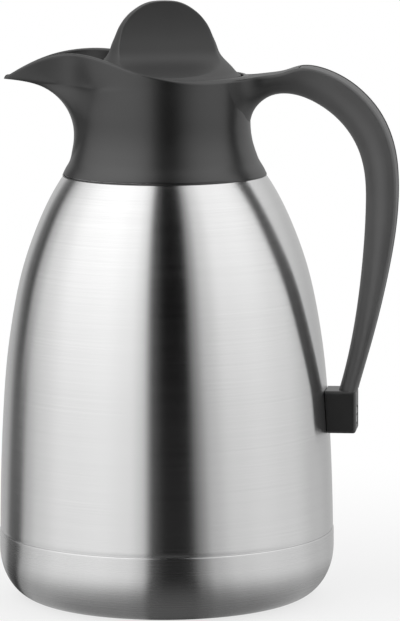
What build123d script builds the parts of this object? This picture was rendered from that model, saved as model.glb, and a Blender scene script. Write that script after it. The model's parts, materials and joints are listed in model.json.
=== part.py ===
from build123d import *
import math
import os

# Insulated steel jug with a twist stopper, a moulded pouring head and an open side handle.
# Millimetres. The origin is the centre of the base on the table, +Z up,
# the spout points to -X and the handle to +X.

# ---------------------------------------------------------------- driving dimensions
# steel vessel, outside
foot_radius = 54.5              # outer edge of the ring the jug stands on
foot_ring_width = 4.5
belly_radius = 70.15            # widest part of the shell, at the seam above the base cup
corner_height = 21.4            # height of the rounded corner of the base cup
seam_height = 28.5              # top edge of the base cup
cup_proud = 0.3                 # the base cup stands this much outside the shell
body_height = 178.0             # height of the steel shoulder where the collar covers it
neck_radius = 31.5              # outside of the steel neck
neck_foot = 12.5                # the shoulder has become the neck this far above the body
neck_length = 6.9
sheet = 0.7                     # shell steel
cup_sheet = 0.6                 # base cup steel
base_recess = 4.0               # the floor of the cup lies this high above the table

# steel vessel, inside
liner_sheet = 0.6
liner_floor = 16.5              # underside of the inner flask
jacket_gap = 6.75               # vacuum gap between shell and inner flask at the belly
liner_floor_radius = 42.0
neck_gap = 0.7                  # vacuum gap between the two necks
lip_thickness = 0.6
vessel_floor = 9.0              # underside of the plate that closes the vacuum jacket
vessel_floor_radius = 56.0
getter_radius = 6.0
getter_height = 3.1
getter_offset = 30.0
bead_radius = 4.0               # solder bead that closes the evacuation hole
bead_height = 1.4

# neck ring and its gasket
gasket_thickness = 1.2
ring_wall = 1.75                # around the steel neck
ring_height = 10.4              # threaded part, above the gasket
snap_height = 0.5               # bead that snaps into the pouring head
snap_half = 0.8
snap_rise = 2.9                 # middle of the bead above the foot of the ring
thread_lead = 10.0
thread_starts = 3
thread_depth = 1.6
thread_root = 1.5               # width of a ridge at its root
thread_crest = 0.8
thread_clear = 0.4              # radial clearance between crest and root
thread_drop = 1.7               # the plug's ridges run this far below those of the ring
ring_arc = 240.0                # degrees each ridge of the ring covers
plug_arc = 96.0                 # degrees each ridge of the plug covers
pour_slot = 16.0                # gap in the ring's ridges, towards the spout

# pouring head
collar_foot_flare = 11.35       # foot of the collar outside the neck
collar_foot_drop = 0.7          # the foot of the collar below the top of the body
skirt_flare = 8.0
skirt_rise = 6.5
collar_wall = 2.4
spout_tip = 67.4                # reach of the spout from the axis
tip_rise = 40.1                 # the spout has its full reach this far above the collar foot
tip_radius = 3.2
rim_back_rise = 41.6            # rim beside the handle, above the collar foot
seat_gap = 0.2                  # head to steel shoulder

# handle
handle_swell = 16.85            # the back of the handle stands this far outside its foot
handle_width = 20.0
handle_foot_width = 16.0
grip_round = 4.0                # rounding of the edges inside the finger gap
back_round = 1.2
handle_wall = 2.4               # side walls of the hollow handle
handle_front_wall = 3.2
cover_thickness = 2.0
cover_gap = 0.35                # groove on each side of the cover
ledge = 1.2                     # seat of the cover on each side
rib_depth = 2.6                 # ribs of the cover that snap into the hollow
rib_width = 1.2

# lower handle mount
block_width = 16.0
block_top = 88.2
block_bottom = 70.4
block_reach = 10.35             # its outer face, outside the belly of the shell
block_wall = 2.2
block_round = 1.2
tongue_thickness = 4.0          # end of the handle that stands in the block
tongue_depth = 7.1              # its inner face, in from the outer face of the block
screw_height = 77.4
screw_radius = 2.0
screw_length = 9.0
screw_head_radius = 3.7
screw_head_height = 1.8
drive_width = 1.0
lug_radius = 5.0
lug_reach = 3.45                # how far the welded lug stands out of the shell

# stopper
stopper_turn = 16.5             # degrees the grip stands turned from the handle plane
plug_gap = 1.3                  # plug to the inside of the steel neck
seal_gap = 0.3                  # seal lip to the inside of the steel neck
plug_step = 1.7                 # the plug is this much thinner below its thread
plug_wall = 3.1
flange_rise = 1.6               # flange of the plug above the neck ring
flange_thickness = 2.3
flange_width = 2.6
spigot_height = 3.0
seal_drop = 5.3                 # middle of the seal below the top of the steel lip
seal_height = 3.0
seal_lip = 1.0
bottom_thickness = 2.0
bottom_depth = 14.0             # underside of the stopper below the top of the steel lip
bottom_wall = 1.8
grip_gap = 1.1                  # foot of the grip to the inside of the collar
grip_skirt = 2.4
grip_height = 31.2              # top of the grip above its foot
grip_wall = 2.4
foam_gap = 0.2
fit = 0.05                      # pressed and turned fits
clear = 0.15                    # sliding and assembly clearance

# ---------------------------------------------------------------- sizes that follow
liner_belly = belly_radius - sheet - jacket_gap   # outer radius of the inner flask
block_back = belly_radius + block_reach
handle_back = block_back + handle_swell           # rearmost point, from the axis
neck_foot_height = body_height + neck_foot
neck_height = neck_foot_height + neck_length      # top edge of the outer neck
lip_top = neck_height + lip_thickness             # top of the rolled steel lip
liner_neck = neck_radius - sheet - neck_gap       # outer radius of the inner neck
mouth_radius = liner_neck - liner_sheet           # inner radius of the inner neck
ring_foot = neck_foot_height + 0.1
ring_step = lip_top + gasket_thickness            # the ring bears on the gasket here
ring_top = ring_step + ring_height
ring_radius = neck_radius + clear + ring_wall
snap_middle = ring_foot + snap_rise
bore_radius = ring_radius + clear                 # bore of the pouring head for the ring
collar_foot_height = body_height - collar_foot_drop
collar_foot_radius = neck_radius + collar_foot_flare
skirt_height = collar_foot_height + skirt_rise
skirt_radius = neck_radius + skirt_flare
waist_radius = bore_radius + collar_wall + fit    # narrowest part of the collar
rim_radius = waist_radius - 0.5
tip_height = collar_foot_height + tip_rise
rim_back_height = collar_foot_height + rim_back_rise
plug_radius = mouth_radius - plug_gap             # threaded part of the plug
plug_low_radius = plug_radius - plug_step
plug_bore = plug_low_radius - plug_wall
ring_bore = plug_radius + thread_depth + thread_clear
plug_thread = ring_step + thread_root / 2 + 0.25  # middle of the plug's ridges at their start
ring_thread = plug_thread + thread_drop
flange_bottom = ring_top + flange_rise
flange_top = flange_bottom + flange_thickness

os.makedirs("parts", exist_ok=True)


def save(part, name):
    """Label a finished piece and write its STEP file."""
    part.label = name
    export_step(part, f"parts/{name}.step")


# ---------------------------------------------------------------- outer shell
joggle = belly_radius - (cup_sheet + fit - cup_proud)   # the shell steps in under the cup
joggle_length = 6.5
shell_bottom = seam_height - joggle_length
step_top = seam_height + 1.0
shell_at_screw = (belly_radius - 1.85, screw_height + 2.6)
side_points = (
    (belly_radius, step_top), (belly_radius - 0.8, 60.0), shell_at_screw,
    (belly_radius - 3.5, 100.0), (belly_radius - 6.4, body_height - 58.0),
    (belly_radius - 10.9, body_height - 38.0), (neck_radius + 22.5, body_height - 23.0),
    (neck_radius + 16.6, body_height - 10.0), (neck_radius + 10.55, body_height),
    (neck_radius + 5.1, body_height + 6.2), (neck_radius, neck_foot_height),
)
side_ends = ((-0.01, 1.0), (0.0, 1.0))      # directions of the side at the seam and at the neck


def parallel(points, ends, distance):
    """Points moved sideways, to the left of their direction of travel, by a distance."""
    moved = []
    for i, (x, y) in enumerate(points):
        before = points[max(i - 1, 0)]
        after = points[min(i + 1, len(points) - 1)]
        along = (after[0] - before[0], after[1] - before[1])
        if i == 0:
            along = ends[0]
        if i == len(points) - 1:
            along = ends[1]
        length = math.hypot(*along)
        moved.append((x - distance * along[1] / length, y + distance * along[0] / length))
    return moved


def smooth(points, ends):
    """Curve through points that leaves the first and reaches the last along given directions."""
    return Spline(*points, tangents=ends, tangent_scalars=(1, 1))


with BuildPart() as outer_shell:
    with BuildSketch(Plane.XZ):
        with BuildLine():
            outside = smooth(side_points, side_ends)
            inside = smooth(parallel(side_points, side_ends, sheet), side_ends)
            Polyline(
                outside @ 0, (joggle, seam_height), (joggle, shell_bottom),
                (joggle - sheet, shell_bottom), (joggle - sheet, seam_height), inside @ 0,
            )
            Polyline(
                outside @ 1, (neck_radius, neck_height), (neck_radius - sheet, neck_height),
                inside @ 1,
            )
        make_face()
    revolve()
save(outer_shell.part, "outer_shell")

# the space inside the outer face of the shell, for cutting the pieces that sit on it
with BuildPart() as shell_space:
    with BuildSketch(Plane.XZ):
        with BuildLine():
            outside = smooth(side_points, side_ends)
            Polyline(
                outside @ 1, (neck_radius, neck_height), (0, neck_height), (0, step_top), outside @ 0
            )
        make_face()
    revolve()

# the same space, larger by the gap under the pouring head
with BuildPart() as seat_space:
    with BuildSketch(Plane.XZ):
        with BuildLine():
            outside = smooth(parallel(side_points, side_ends, -seat_gap), side_ends)
            Polyline(
                outside @ 1, (neck_radius + seat_gap, neck_height), (0, neck_height),
                (0, step_top), outside @ 0,
            )
        make_face()
    revolve()

# ---------------------------------------------------------------- base cup
cup_radius = belly_radius + cup_proud
foot_inner = foot_radius - foot_ring_width
foot_rise_radius = foot_inner - 3.0

with BuildPart() as base_cup:
    with BuildSketch(Plane.XZ):
        with BuildLine():
            outside = EllipticalCenterArc(
                (foot_radius, corner_height), cup_radius - foot_radius, corner_height,
                start_angle=-90, arc_size=90,
            )
            inside = EllipticalCenterArc(
                (foot_radius, corner_height), cup_radius - foot_radius - cup_sheet,
                corner_height - cup_sheet, start_angle=-90, arc_size=90,
            )
            Polyline(
                outside @ 1, (cup_radius, seam_height), (cup_radius - cup_sheet, seam_height),
                inside @ 1,
            )
            Polyline(
                outside @ 0, (foot_inner, 0), (foot_rise_radius, base_recess), (0, base_recess),
                (0, base_recess + cup_sheet), (foot_rise_radius + cup_sheet, base_recess + cup_sheet),
                (foot_inner + cup_sheet, cup_sheet), inside @ 0,
            )
        make_face()
    revolve()
save(base_cup.part, "base_cup")

# ---------------------------------------------------------------- plate that closes the jacket
plate_radius = joggle - sheet - fit
plate_flange = shell_bottom + 4.0
plate_corner = 4.0

with BuildPart() as vessel_bottom:
    with BuildSketch(Plane.XZ):
        with BuildLine():
            outside = FilletPolyline(
                (plate_radius, plate_flange), (plate_radius, shell_bottom - 2.0),
                (vessel_floor_radius, vessel_floor), (0, vessel_floor), radius=plate_corner,
            )
            inside = FilletPolyline(
                (plate_radius - sheet, plate_flange), (plate_radius - sheet, shell_bottom - 1.6),
                (vessel_floor_radius - 0.3, vessel_floor + sheet), (0, vessel_floor + sheet),
                radius=plate_corner - sheet,
            )
            Line(outside @ 0, inside @ 0)
            Line(outside @ 1, inside @ 1)
        make_face()
    revolve()
save(vessel_bottom.part, "vessel_bottom")

# ---------------------------------------------------------------- inner flask
liner_points = (
    (liner_floor_radius, liner_floor), (liner_belly - 9.7, liner_floor + 3.1),
    (liner_belly - 2.7, liner_floor + 11.5), (liner_belly, liner_floor + 25.5),
    (liner_belly - 0.8, 70.0), (liner_belly - 3.1, 100.0), (liner_belly - 10.1, body_height - 40.0),
    (liner_neck + 11.2, body_height - 12.0), (liner_neck + 3.9, body_height + 0.5),
    (liner_neck, body_height + 10.0),
)
liner_ends = ((1.0, 0.0), (0.0, 1.0))

with BuildPart() as inner_flask:
    with BuildSketch(Plane.XZ):
        with BuildLine():
            outside = smooth(liner_points, liner_ends)
            inside = smooth(parallel(liner_points, liner_ends, liner_sheet), liner_ends)
            Polyline(
                outside @ 0, (0, liner_floor), (0, liner_floor + liner_sheet), inside @ 0
            )
            Polyline(
                outside @ 1, (liner_neck, neck_height), (neck_radius, neck_height),
                (neck_radius, lip_top), (mouth_radius, lip_top), inside @ 1,
            )
        make_face()
    revolve()
save(inner_flask.part, "inner_flask")

# ---------------------------------------------------------------- getter and evacuation bead
with BuildPart() as getter:
    with BuildSketch(Plane.XY.offset(liner_floor - getter_height)):
        with Locations((getter_offset, 0)):
            Circle(getter_radius)
    extrude(amount=getter_height)
    fillet(getter.edges().sort_by(Axis.Z)[:1], getter_height / 4)
save(getter.part, "getter")

with BuildPart() as evacuation_bead:
    with BuildSketch(Plane.XZ):
        with BuildLine():
            dome = smooth(
                (
                    (bead_radius, vessel_floor), (0.7 * bead_radius, vessel_floor - 0.7 * bead_height),
                    (0, vessel_floor - bead_height),
                ),
                ((0.0, -1.0), (-1.0, 0.0)),
            )
            Polyline(dome @ 1, (0, vessel_floor), dome @ 0)
        make_face()
    revolve()
save(evacuation_bead.part, "evacuation_bead")

# ---------------------------------------------------------------- gasket on the steel lip
with BuildPart() as neck_gasket:
    with BuildSketch(Plane.XY.offset(lip_top)):
        Circle(neck_radius)
        Circle(mouth_radius + 2 * clear, mode=Mode.SUBTRACT)
    extrude(amount=gasket_thickness)
save(neck_gasket.part, "neck_gasket")


# ---------------------------------------------------------------- neck ring
def ridge(radius, start, arc, outward):
    """One helical thread ridge on a cylinder, pointing outward (1) or inward (-1)."""
    root = -outward * clear
    crest = outward * thread_depth
    with BuildPart() as helical:
        with BuildLine():
            path = Helix(thread_lead, thread_lead * arc / 360, radius, center=(0, 0, start))
        with BuildSketch(Plane(path @ 0, x_dir=(1, 0, 0), z_dir=path % 0)):
            Polygon(
                (root, -thread_root / 2), (crest, -thread_crest / 2),
                (crest, thread_crest / 2), (root, thread_root / 2), align=None,
            )
        sweep(is_frenet=True)
    return helical.part


ring_first = 180.0 + math.degrees(math.asin(pour_slot / 2 / ring_bore))   # start of a ridge
ring_ridge = ridge(ring_bore, ring_thread, ring_arc, -1)
plug_ridge = ridge(plug_radius, plug_thread, plug_arc, 1)

with BuildPart() as neck_ring:
    with BuildSketch(Plane.XZ):
        with BuildLine():
            Polyline(
                (neck_radius + clear, ring_foot), (ring_radius, ring_foot),
                (ring_radius, snap_middle - 2 * snap_half),
                (ring_radius + snap_height, snap_middle - snap_half),
                (ring_radius + snap_height, snap_middle + snap_half),
                (ring_radius, snap_middle + 2 * snap_half), (ring_radius, ring_top),
                (ring_bore, ring_top), (ring_bore, ring_step), (neck_radius + clear, ring_step),
                close=True,
            )
        make_face()
    revolve()
    with PolarLocations(0, thread_starts, start_angle=ring_first):
        add(ring_ridge)
    with BuildSketch(Plane.XY.offset(ring_step)):
        with Locations((-ring_bore, 0)):
            Rectangle(pour_slot, pour_slot)
        Circle(ring_bore - fit, mode=Mode.INTERSECT)
    extrude(amount=ring_height, mode=Mode.SUBTRACT)
save(neck_ring.part, "neck_ring")

# ---------------------------------------------------------------- pouring head, outside
# Level outlines of the head above its round skirt: height above the foot of the collar,
# radius beyond the waist, share of the spout's reach, and how wide the beak of the spout is
# beside straight sides.
levels = (
    (9.8, 2.15, 0.02, 1.0), (13.1, 1.1, 0.034, 1.0), (19.8, 0.0, 0.063, 1.0),
    (25.3, -0.1, 0.113, 0.95), (30.3, -0.2, 0.213, 0.8), (34.1, -0.3, 0.342, 0.62),
    (36.9, -0.4, 0.495, 0.5), (38.9, -0.45, 0.71, 0.43), (tip_rise, -0.5, 1.0, 0.38),
)
skirt_step = 0.2                # fine step between the round skirt and the collar above it
skirt_level = (skirt_height, skirt_radius - skirt_step, skirt_radius - 0.75 * skirt_step, 1.0)
collar_levels = [skirt_level] + [
    (
        collar_foot_height + rise, waist_radius + wider,
        waist_radius + wider + share * (spout_tip - rim_radius), slim,
    )
    for rise, wider, share, slim in levels
]
level_top = tip_height + 14.6   # above the highest point of the rim
flank_flare = 5.0               # the sides of the spout open out by this much above the tip
top_slim = 0.6
slim_start = rim_radius - 11.5  # the beak starts to narrow at this distance from the axis
slim_run = 18.0                 # and has narrowed in full this much further out
nose_start = 27.0               # the spout side is this much blunter where it starts
nose_fade = 8.0
body_steps = 7                  # points on each half of the outline
side_steps = 6
nose_steps = 3


def narrowed(x, y, slim):
    """Point of an outline with the sides of the beak drawn in."""
    run = min(max((-x - slim_start) / slim_run, 0.0), 1.0)
    return x, y * (1 - (1 - slim) * run * run * (3 - 2 * run))


def teardrop(height, radius, reach, slim, wall):
    """Level outline of the head: a circle that draws out into the beak of the spout."""
    nose = tip_radius + nose_start * math.exp(-(reach - radius) / nose_fade)
    centre = reach - nose
    lean = math.acos((radius - nose) / centre)
    body, tip = radius - wall, nose - min(wall, 0.6 * tip_radius)
    around_body = [math.pi - i * (math.pi - lean) / body_steps for i in range(body_steps + 1)]
    around_nose = [lean - i * lean / nose_steps for i in range(nose_steps + 1)]
    half = [(-body * math.cos(a), body * math.sin(a)) for a in around_body]
    side_start = half[-1]
    side_end = (-centre - tip * math.cos(lean), tip * math.sin(lean))
    half += [
        tuple(a + (b - a) * i / side_steps for a, b in zip(side_start, side_end))
        for i in range(1, side_steps)
    ]
    half += [(-centre - tip * math.cos(a), tip * math.sin(a)) for a in around_nose]
    half = [narrowed(x, y, slim) for x, y in half]
    mirrored = [(x, -y) for x, y in reversed(half[1:-1])]
    with BuildSketch(Plane.XY.offset(height)) as outline:
        with BuildLine():
            Spline(*half, *mirrored, periodic=True)
        make_face()
    return outline.sketch


# side view of the rim: reach from the axis, and height above the tip of the spout
rim_line = (
    (-spout_tip - 4.0, -2.0), (-spout_tip, 0.6), (-59.6, 5.2), (-47.3, 10.2), (-35.0, 11.8),
    (-23.0, 10.4), (-9.0, 6.1), (4.2, 3.0), (17.0, 1.3), (28.0, 1.1), (46.0, 2.2),
)
head_reach = spout_tip + 12.0

# everything above the rim
with BuildPart() as above_rim:
    with BuildSketch(Plane.XZ.offset(-head_reach)):
        with BuildLine():
            rim = Spline(*[(x, tip_height + rise) for x, rise in rim_line])
            Polyline(
                rim @ 1, ((rim @ 1).X, level_top + 10), (-head_reach, level_top + 10),
                (-head_reach, (rim @ 0).Y), rim @ 0,
            )
        make_face()
    extrude(amount=2 * head_reach)

skirt_points = (
    (collar_foot_radius, collar_foot_height),
    (collar_foot_radius - 1.4, collar_foot_height + 3.1), (skirt_radius, skirt_height),
)
skirt_ends = ((-0.35, 1.0), (-0.43, 1.0))

with BuildPart() as head_outside:
    with BuildSketch(Plane.XZ):
        with BuildLine():
            flare = smooth(skirt_points, skirt_ends)
            Polyline(flare @ 1, (0, skirt_height), (0, collar_foot_height), flare @ 0)
        make_face()
    revolve()
    loft([teardrop(*level, 0) for level in collar_levels])
    loft([
        teardrop(tip_height, rim_radius, spout_tip, levels[-1][-1], 0),
        teardrop(level_top, rim_radius, spout_tip + flank_flare, top_slim, 0),
    ])
    add(above_rim.part, mode=Mode.SUBTRACT)

# the room inside the head: the spout channel above the neck ring, and the bore for that ring
channel_rise = 1.2              # the floor of the spout lies this much above its underside
bore_foot = ring_foot + 0.4
bore_top = ring_top + 0.4

with BuildPart() as head_inside:
    loft([
        teardrop(height + channel_rise, radius, reach, slim, collar_wall)
        for height, radius, reach, slim in collar_levels
        if height > ring_top - 3.0
    ])
    loft([
        teardrop(tip_height + channel_rise, rim_radius, spout_tip, levels[-1][-1], collar_wall),
        teardrop(level_top, rim_radius, spout_tip + flank_flare, top_slim, collar_wall),
    ])
    with BuildSketch(Plane.XZ):
        with BuildLine():
            Polyline(
                (0, collar_foot_height - 7), (collar_foot_radius - collar_wall, collar_foot_height - 7),
                (collar_foot_radius - collar_wall, collar_foot_height + 1.3),
                (skirt_radius - collar_wall, skirt_height),
                (waist_radius - 0.8, bore_foot - 2.5), (bore_radius, bore_foot),
                (bore_radius, snap_middle - 2 * snap_half),
                (bore_radius + snap_height, snap_middle - snap_half),
                (bore_radius + snap_height, snap_middle + snap_half),
                (bore_radius, snap_middle + 2 * snap_half), (bore_radius, bore_top),
                (0, bore_top), close=True,
            )
        make_face()
    revolve()

# ---------------------------------------------------------------- handle, moulded with the head
def shifted(origin, points):
    """Points given from an origin."""
    return [(origin[0] + x, origin[1] + z) for x, z in points]


arm_root = (waist_radius, rim_back_height)        # the arm leaves the collar here
arm_end = (handle_back, rim_back_height)          # the arm turns down here
leg_end = (block_back, block_top)                 # the handle enters the block here


def spanned(points):
    """Points of the arm, given by the share of the way from its root to its end, and height."""
    span = arm_end[0] - arm_root[0]
    return shifted(arm_root, [(share * span, z) for share, z in points])


gap_edge = (                    # edge of the finger gap, from the collar round to the foot
    *shifted(arm_root, ((-1.1, -25.4), (-0.6, -21.4), (0.0, -18.3), (1.1, -15.0))),
    *spanned((
        (0.065, -11.1), (0.1465, -7.9), (0.237, -7.0), (0.335, -7.9), (0.462, -11.3),
        (0.602, -17.9),
    )),
    *shifted(arm_end, (
        (-19.1, -24.6), (-15.8, -31.4), (-13.8, -39.4), (-13.2, -53.9),
    )),
    *shifted(leg_end, ((2.1, 52.3), (-1.5, 25.3), (-7.4, 0.0))),
)
gap_ends = ((0.1, 1.0), (-0.3, -1.0))
arm_top = (                     # top of the arm, up to the cover strip
    *shifted(arm_root, ((-1.1, -0.1),)),
    *spanned(((0.091, 0.8), (0.221, 2.0))),
)
strip_edge = (                  # back of the handle, along the cover strip
    *spanned(((0.3415, 4.1), (0.457, 3.5), (0.571, 1.0))),
    *shifted(arm_end, (
        (-20.3, -2.4), (-12.7, -8.9), (-7.6, -15.4), (-4.0, -22.4), (-1.1, -32.4),
        (0.0, -44.9), (-0.3, -55.9),
    )),
    *shifted(leg_end, ((12.8, 49.0), (6.5, 22.0), (0.3, 0.0))),
)
back_edge = arm_top + strip_edge
back_ends = ((1.0, 0.1), (-0.28, -1.0))
widths = (                      # height, half width
    (block_bottom - 10.0, handle_foot_width / 2), (block_top, handle_foot_width / 2),
    (block_top + 52.0, handle_width / 2 - 0.5), (rim_back_height - 24.0, handle_width / 2),
    (rim_back_height + 21.0, handle_width / 2),
)
handle_reach = handle_back + 12.0


def front_outline(inset, lowest):
    """Handle seen along its depth, down to a height: a strip that narrows towards the foot."""
    with BuildSketch(Plane.YZ) as outline:
        with BuildLine():
            right = Spline(*[(half - inset, height) for height, half in widths])
            left = Spline(*[(inset - half, height) for height, half in widths])
            Line(right @ 0, left @ 0)
            Line(right @ 1, left @ 1)
        make_face()
        with Locations((0, lowest)):
            Rectangle(
                2 * handle_width, lowest, align=(Align.CENTER, Align.MAX), mode=Mode.SUBTRACT
            )
    return outline.sketch


with BuildPart() as handle_form:
    with BuildSketch(Plane.XZ.offset(-handle_width)):
        with BuildLine():
            front = smooth(gap_edge, gap_ends)
            back = smooth(back_edge, back_ends)
            Line(front @ 0, back @ 0)
            Line(front @ 1, back @ 1)
        make_face()
    extrude(amount=2 * handle_width)
    extrude(front_outline(0, block_top), amount=handle_reach, mode=Mode.INTERSECT)
    fillet(handle_form.edges().sort_by(SortBy.LENGTH)[-4:-2], grip_round)
    fillet(handle_form.edges().sort_by(SortBy.LENGTH)[-2:], back_round)

# The handle is hollow and open to the back. A shallow pocket with a ledge on each side takes
# the cover strip, and the hollow below it keeps the walls even.
hollow_floor = block_top + 6.0
back_spill = 3.0                # cutters reach this far out of the back
strip_ends = ((1.0, 0.0), back_ends[1])

with BuildPart() as cover_pocket:
    with BuildSketch(Plane.XZ.offset(-handle_width)):
        with BuildLine():
            under = smooth(parallel(strip_edge, strip_ends, -cover_thickness - clear), strip_ends)
            over = smooth(parallel(strip_edge, strip_ends, back_spill), strip_ends)
            Line(under @ 0, over @ 0)
            Line(under @ 1, over @ 1)
        make_face()
    extrude(amount=2 * handle_width)
    extrude(front_outline(handle_wall, block_top), amount=handle_reach, mode=Mode.INTERSECT)

with BuildPart() as handle_hollow:
    with BuildSketch(Plane.XZ.offset(-handle_width)):
        with BuildLine():
            front = Spline(*parallel(gap_edge, gap_ends, handle_front_wall)[8:])
            back = Spline(*strip_edge[1:])
            Line(front @ 0, back @ 0)
            Line(front @ 1, back @ 1)
        make_face()
    extrude(amount=2 * handle_width)
    extrude(
        front_outline(handle_wall + ledge, hollow_floor), amount=handle_reach,
        mode=Mode.INTERSECT,
    )

# ---------------------------------------------------------------- handle cover
with BuildPart() as cover_ribs:
    with BuildSketch(Plane.XZ.offset(-handle_width)):
        with BuildLine():
            upper = Spline(*parallel(strip_edge, strip_ends, clear - cover_thickness)[2:-1])
            lower = Spline(*parallel(strip_edge, strip_ends, -cover_thickness - rib_depth)[2:-1])
            Line(upper @ 0, lower @ 0)
            Line(upper @ 1, lower @ 1)
        make_face()
    extrude(amount=2 * handle_width)
    rib_outside = handle_wall + ledge + 2 * clear
    extrude(
        front_outline(rib_outside, hollow_floor) - front_outline(rib_outside + rib_width, hollow_floor),
        amount=handle_reach, mode=Mode.INTERSECT,
    )

with BuildPart() as handle_cover:
    with BuildSketch(Plane.XZ.offset(-handle_width)) :
        with BuildLine():
            under = smooth(parallel(strip_edge, strip_ends, -cover_thickness), strip_ends)
            over = smooth(strip_edge, strip_ends)
            Line(under @ 0, over @ 0)
            Line(under @ 1, over @ 1)
        make_face()
    extrude(amount=2 * handle_width)
    extrude(
        front_outline(handle_wall + cover_gap, block_top + cover_gap), amount=handle_reach,
        mode=Mode.INTERSECT,
    )
    with BuildSketch(Plane.YZ.offset((under @ 0).X)):
        with Locations((0, (under @ 0).Y)):
            Rectangle(2 * handle_width, 6 * cover_thickness)
    extrude(amount=cover_gap, mode=Mode.SUBTRACT)
    add(cover_ribs.part)
save(handle_cover.part, "handle_cover")

# ---------------------------------------------------------------- pouring head
tongue_front = block_back - tongue_depth
tongue_back = tongue_front + tongue_thickness
tongue_half = block_width / 2 - block_wall - 0.8
tongue_end = block_bottom + block_wall

with BuildPart() as pouring_head:
    add(head_outside.part)
    add(handle_form.part)
    add(head_inside.part, mode=Mode.SUBTRACT)
    add(seat_space.part, mode=Mode.SUBTRACT)
    add(cover_pocket.part, mode=Mode.SUBTRACT)
    add(handle_hollow.part, mode=Mode.SUBTRACT)
    with BuildSketch(Plane.XY.offset(tongue_end)):
        with Locations((tongue_front, 0)):
            Rectangle(
                tongue_back - tongue_front, 2 * tongue_half, align=(Align.MIN, Align.CENTER)
            )
    extrude(amount=block_top - tongue_end)
    with BuildSketch(Plane.YZ.offset(tongue_front)):
        with Locations((0, screw_height)):
            Circle(screw_radius + clear)
    extrude(amount=tongue_back - tongue_front, mode=Mode.SUBTRACT)
save(pouring_head.part, "pouring_head")

# ---------------------------------------------------------------- block at the foot of the handle
counterbore_depth = screw_head_height + 0.1
counterbore_radius = screw_head_radius + 0.5
block_start = liner_belly       # inside the shell, cut back to its surface
lug_end = shell_at_screw[0] + lug_reach

with BuildPart() as handle_block:
    with BuildSketch(Plane.XY.offset(block_bottom)):
        with Locations((block_start, 0)):
            Rectangle(block_back - block_start, block_width, align=(Align.MIN, Align.CENTER))
    extrude(amount=block_top - block_bottom)
    fillet(handle_block.edges().filter_by(Axis.X), block_round)
    fillet(handle_block.faces().sort_by(Axis.X)[-1].edges(), block_round)
    add(seat_space.part, mode=Mode.SUBTRACT)
    with BuildSketch(Plane.XY.offset(tongue_end - clear)):
        with Locations((tongue_front - clear, 0)):
            Rectangle(
                tongue_back - tongue_front + 2 * clear, 2 * (tongue_half + clear),
                align=(Align.MIN, Align.CENTER),
            )
    extrude(amount=block_top, mode=Mode.SUBTRACT)
    with BuildSketch(Plane.YZ.offset(block_start)):
        with Locations((0, screw_height)):
            Circle(lug_radius + clear)
    extrude(amount=lug_end + clear - block_start, mode=Mode.SUBTRACT)
    with BuildSketch(Plane.YZ.offset(block_start)):
        with Locations((0, screw_height)):
            Circle(screw_radius + clear)
    extrude(amount=block_back - block_start, mode=Mode.SUBTRACT)
    with BuildSketch(Plane.YZ.offset(block_back - counterbore_depth)):
        with Locations((0, screw_height)):
            Circle(counterbore_radius)
    extrude(amount=counterbore_depth, mode=Mode.SUBTRACT)
save(handle_block.part, "handle_block")

# ---------------------------------------------------------------- lug welded to the shell
with BuildPart() as handle_lug:
    with BuildSketch(Plane.YZ.offset(block_start)):
        with Locations((0, screw_height)):
            Circle(lug_radius)
            Circle(screw_radius + fit, mode=Mode.SUBTRACT)
    extrude(amount=lug_end - block_start)
    add(shell_space.part, mode=Mode.SUBTRACT)
save(handle_lug.part, "handle_lug")

# ---------------------------------------------------------------- handle screw
screw_seat = block_back - counterbore_depth
with BuildPart() as handle_screw:
    with BuildSketch(Plane.YZ.offset(screw_seat)):
        with Locations((0, screw_height)):
            Circle(screw_head_radius)
    extrude(amount=screw_head_height)
    fillet(handle_screw.edges().sort_by(Axis.X)[-1:], 0.8)
    with BuildSketch(Plane.YZ.offset(screw_seat)):
        with Locations((0, screw_height)):
            Circle(screw_radius)
    extrude(amount=-screw_length)
    with BuildSketch(Plane.YZ.offset(screw_seat + screw_head_height)):
        with Locations((0, screw_height)):
            Rectangle(1.3 * screw_head_radius, drive_width)
            Rectangle(drive_width, 1.3 * screw_head_radius)
    extrude(amount=-drive_width, mode=Mode.SUBTRACT)
save(handle_screw.part, "handle_screw")

# ---------------------------------------------------------------- stopper: plug
thread_bottom = ring_step - 0.2
seal_bottom = lip_top - seal_drop - seal_height / 2
seal_top = seal_bottom + seal_height
plug_bottom = seal_top + clear
spigot_radius = plug_radius + fit
flange_radius = plug_radius + flange_width

with BuildPart() as stopper_plug:
    with BuildSketch(Plane.XZ):
        with BuildLine():
            Polyline(
                (plug_bore, plug_bottom), (plug_low_radius, plug_bottom),
                (plug_low_radius, thread_bottom - plug_step), (plug_radius, thread_bottom),
                (plug_radius, flange_bottom), (flange_radius, flange_bottom),
                (flange_radius, flange_top), (spigot_radius, flange_top),
                (spigot_radius, flange_top + spigot_height), (plug_bore, flange_top + spigot_height),
                close=True,
            )
        make_face()
    revolve()
    with PolarLocations(0, thread_starts, start_angle=ring_first):
        add(plug_ridge)
save(stopper_plug.part, "stopper_plug")

# ---------------------------------------------------------------- stopper: bottom cap
stopper_bottom_height = lip_top - bottom_depth
cap_radius = plug_low_radius - 0.9
cap_spigot = plug_bore - foam_gap
cap_bore = cap_spigot - bottom_wall
cap_spigot_top = plug_bottom + 4.0

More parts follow.
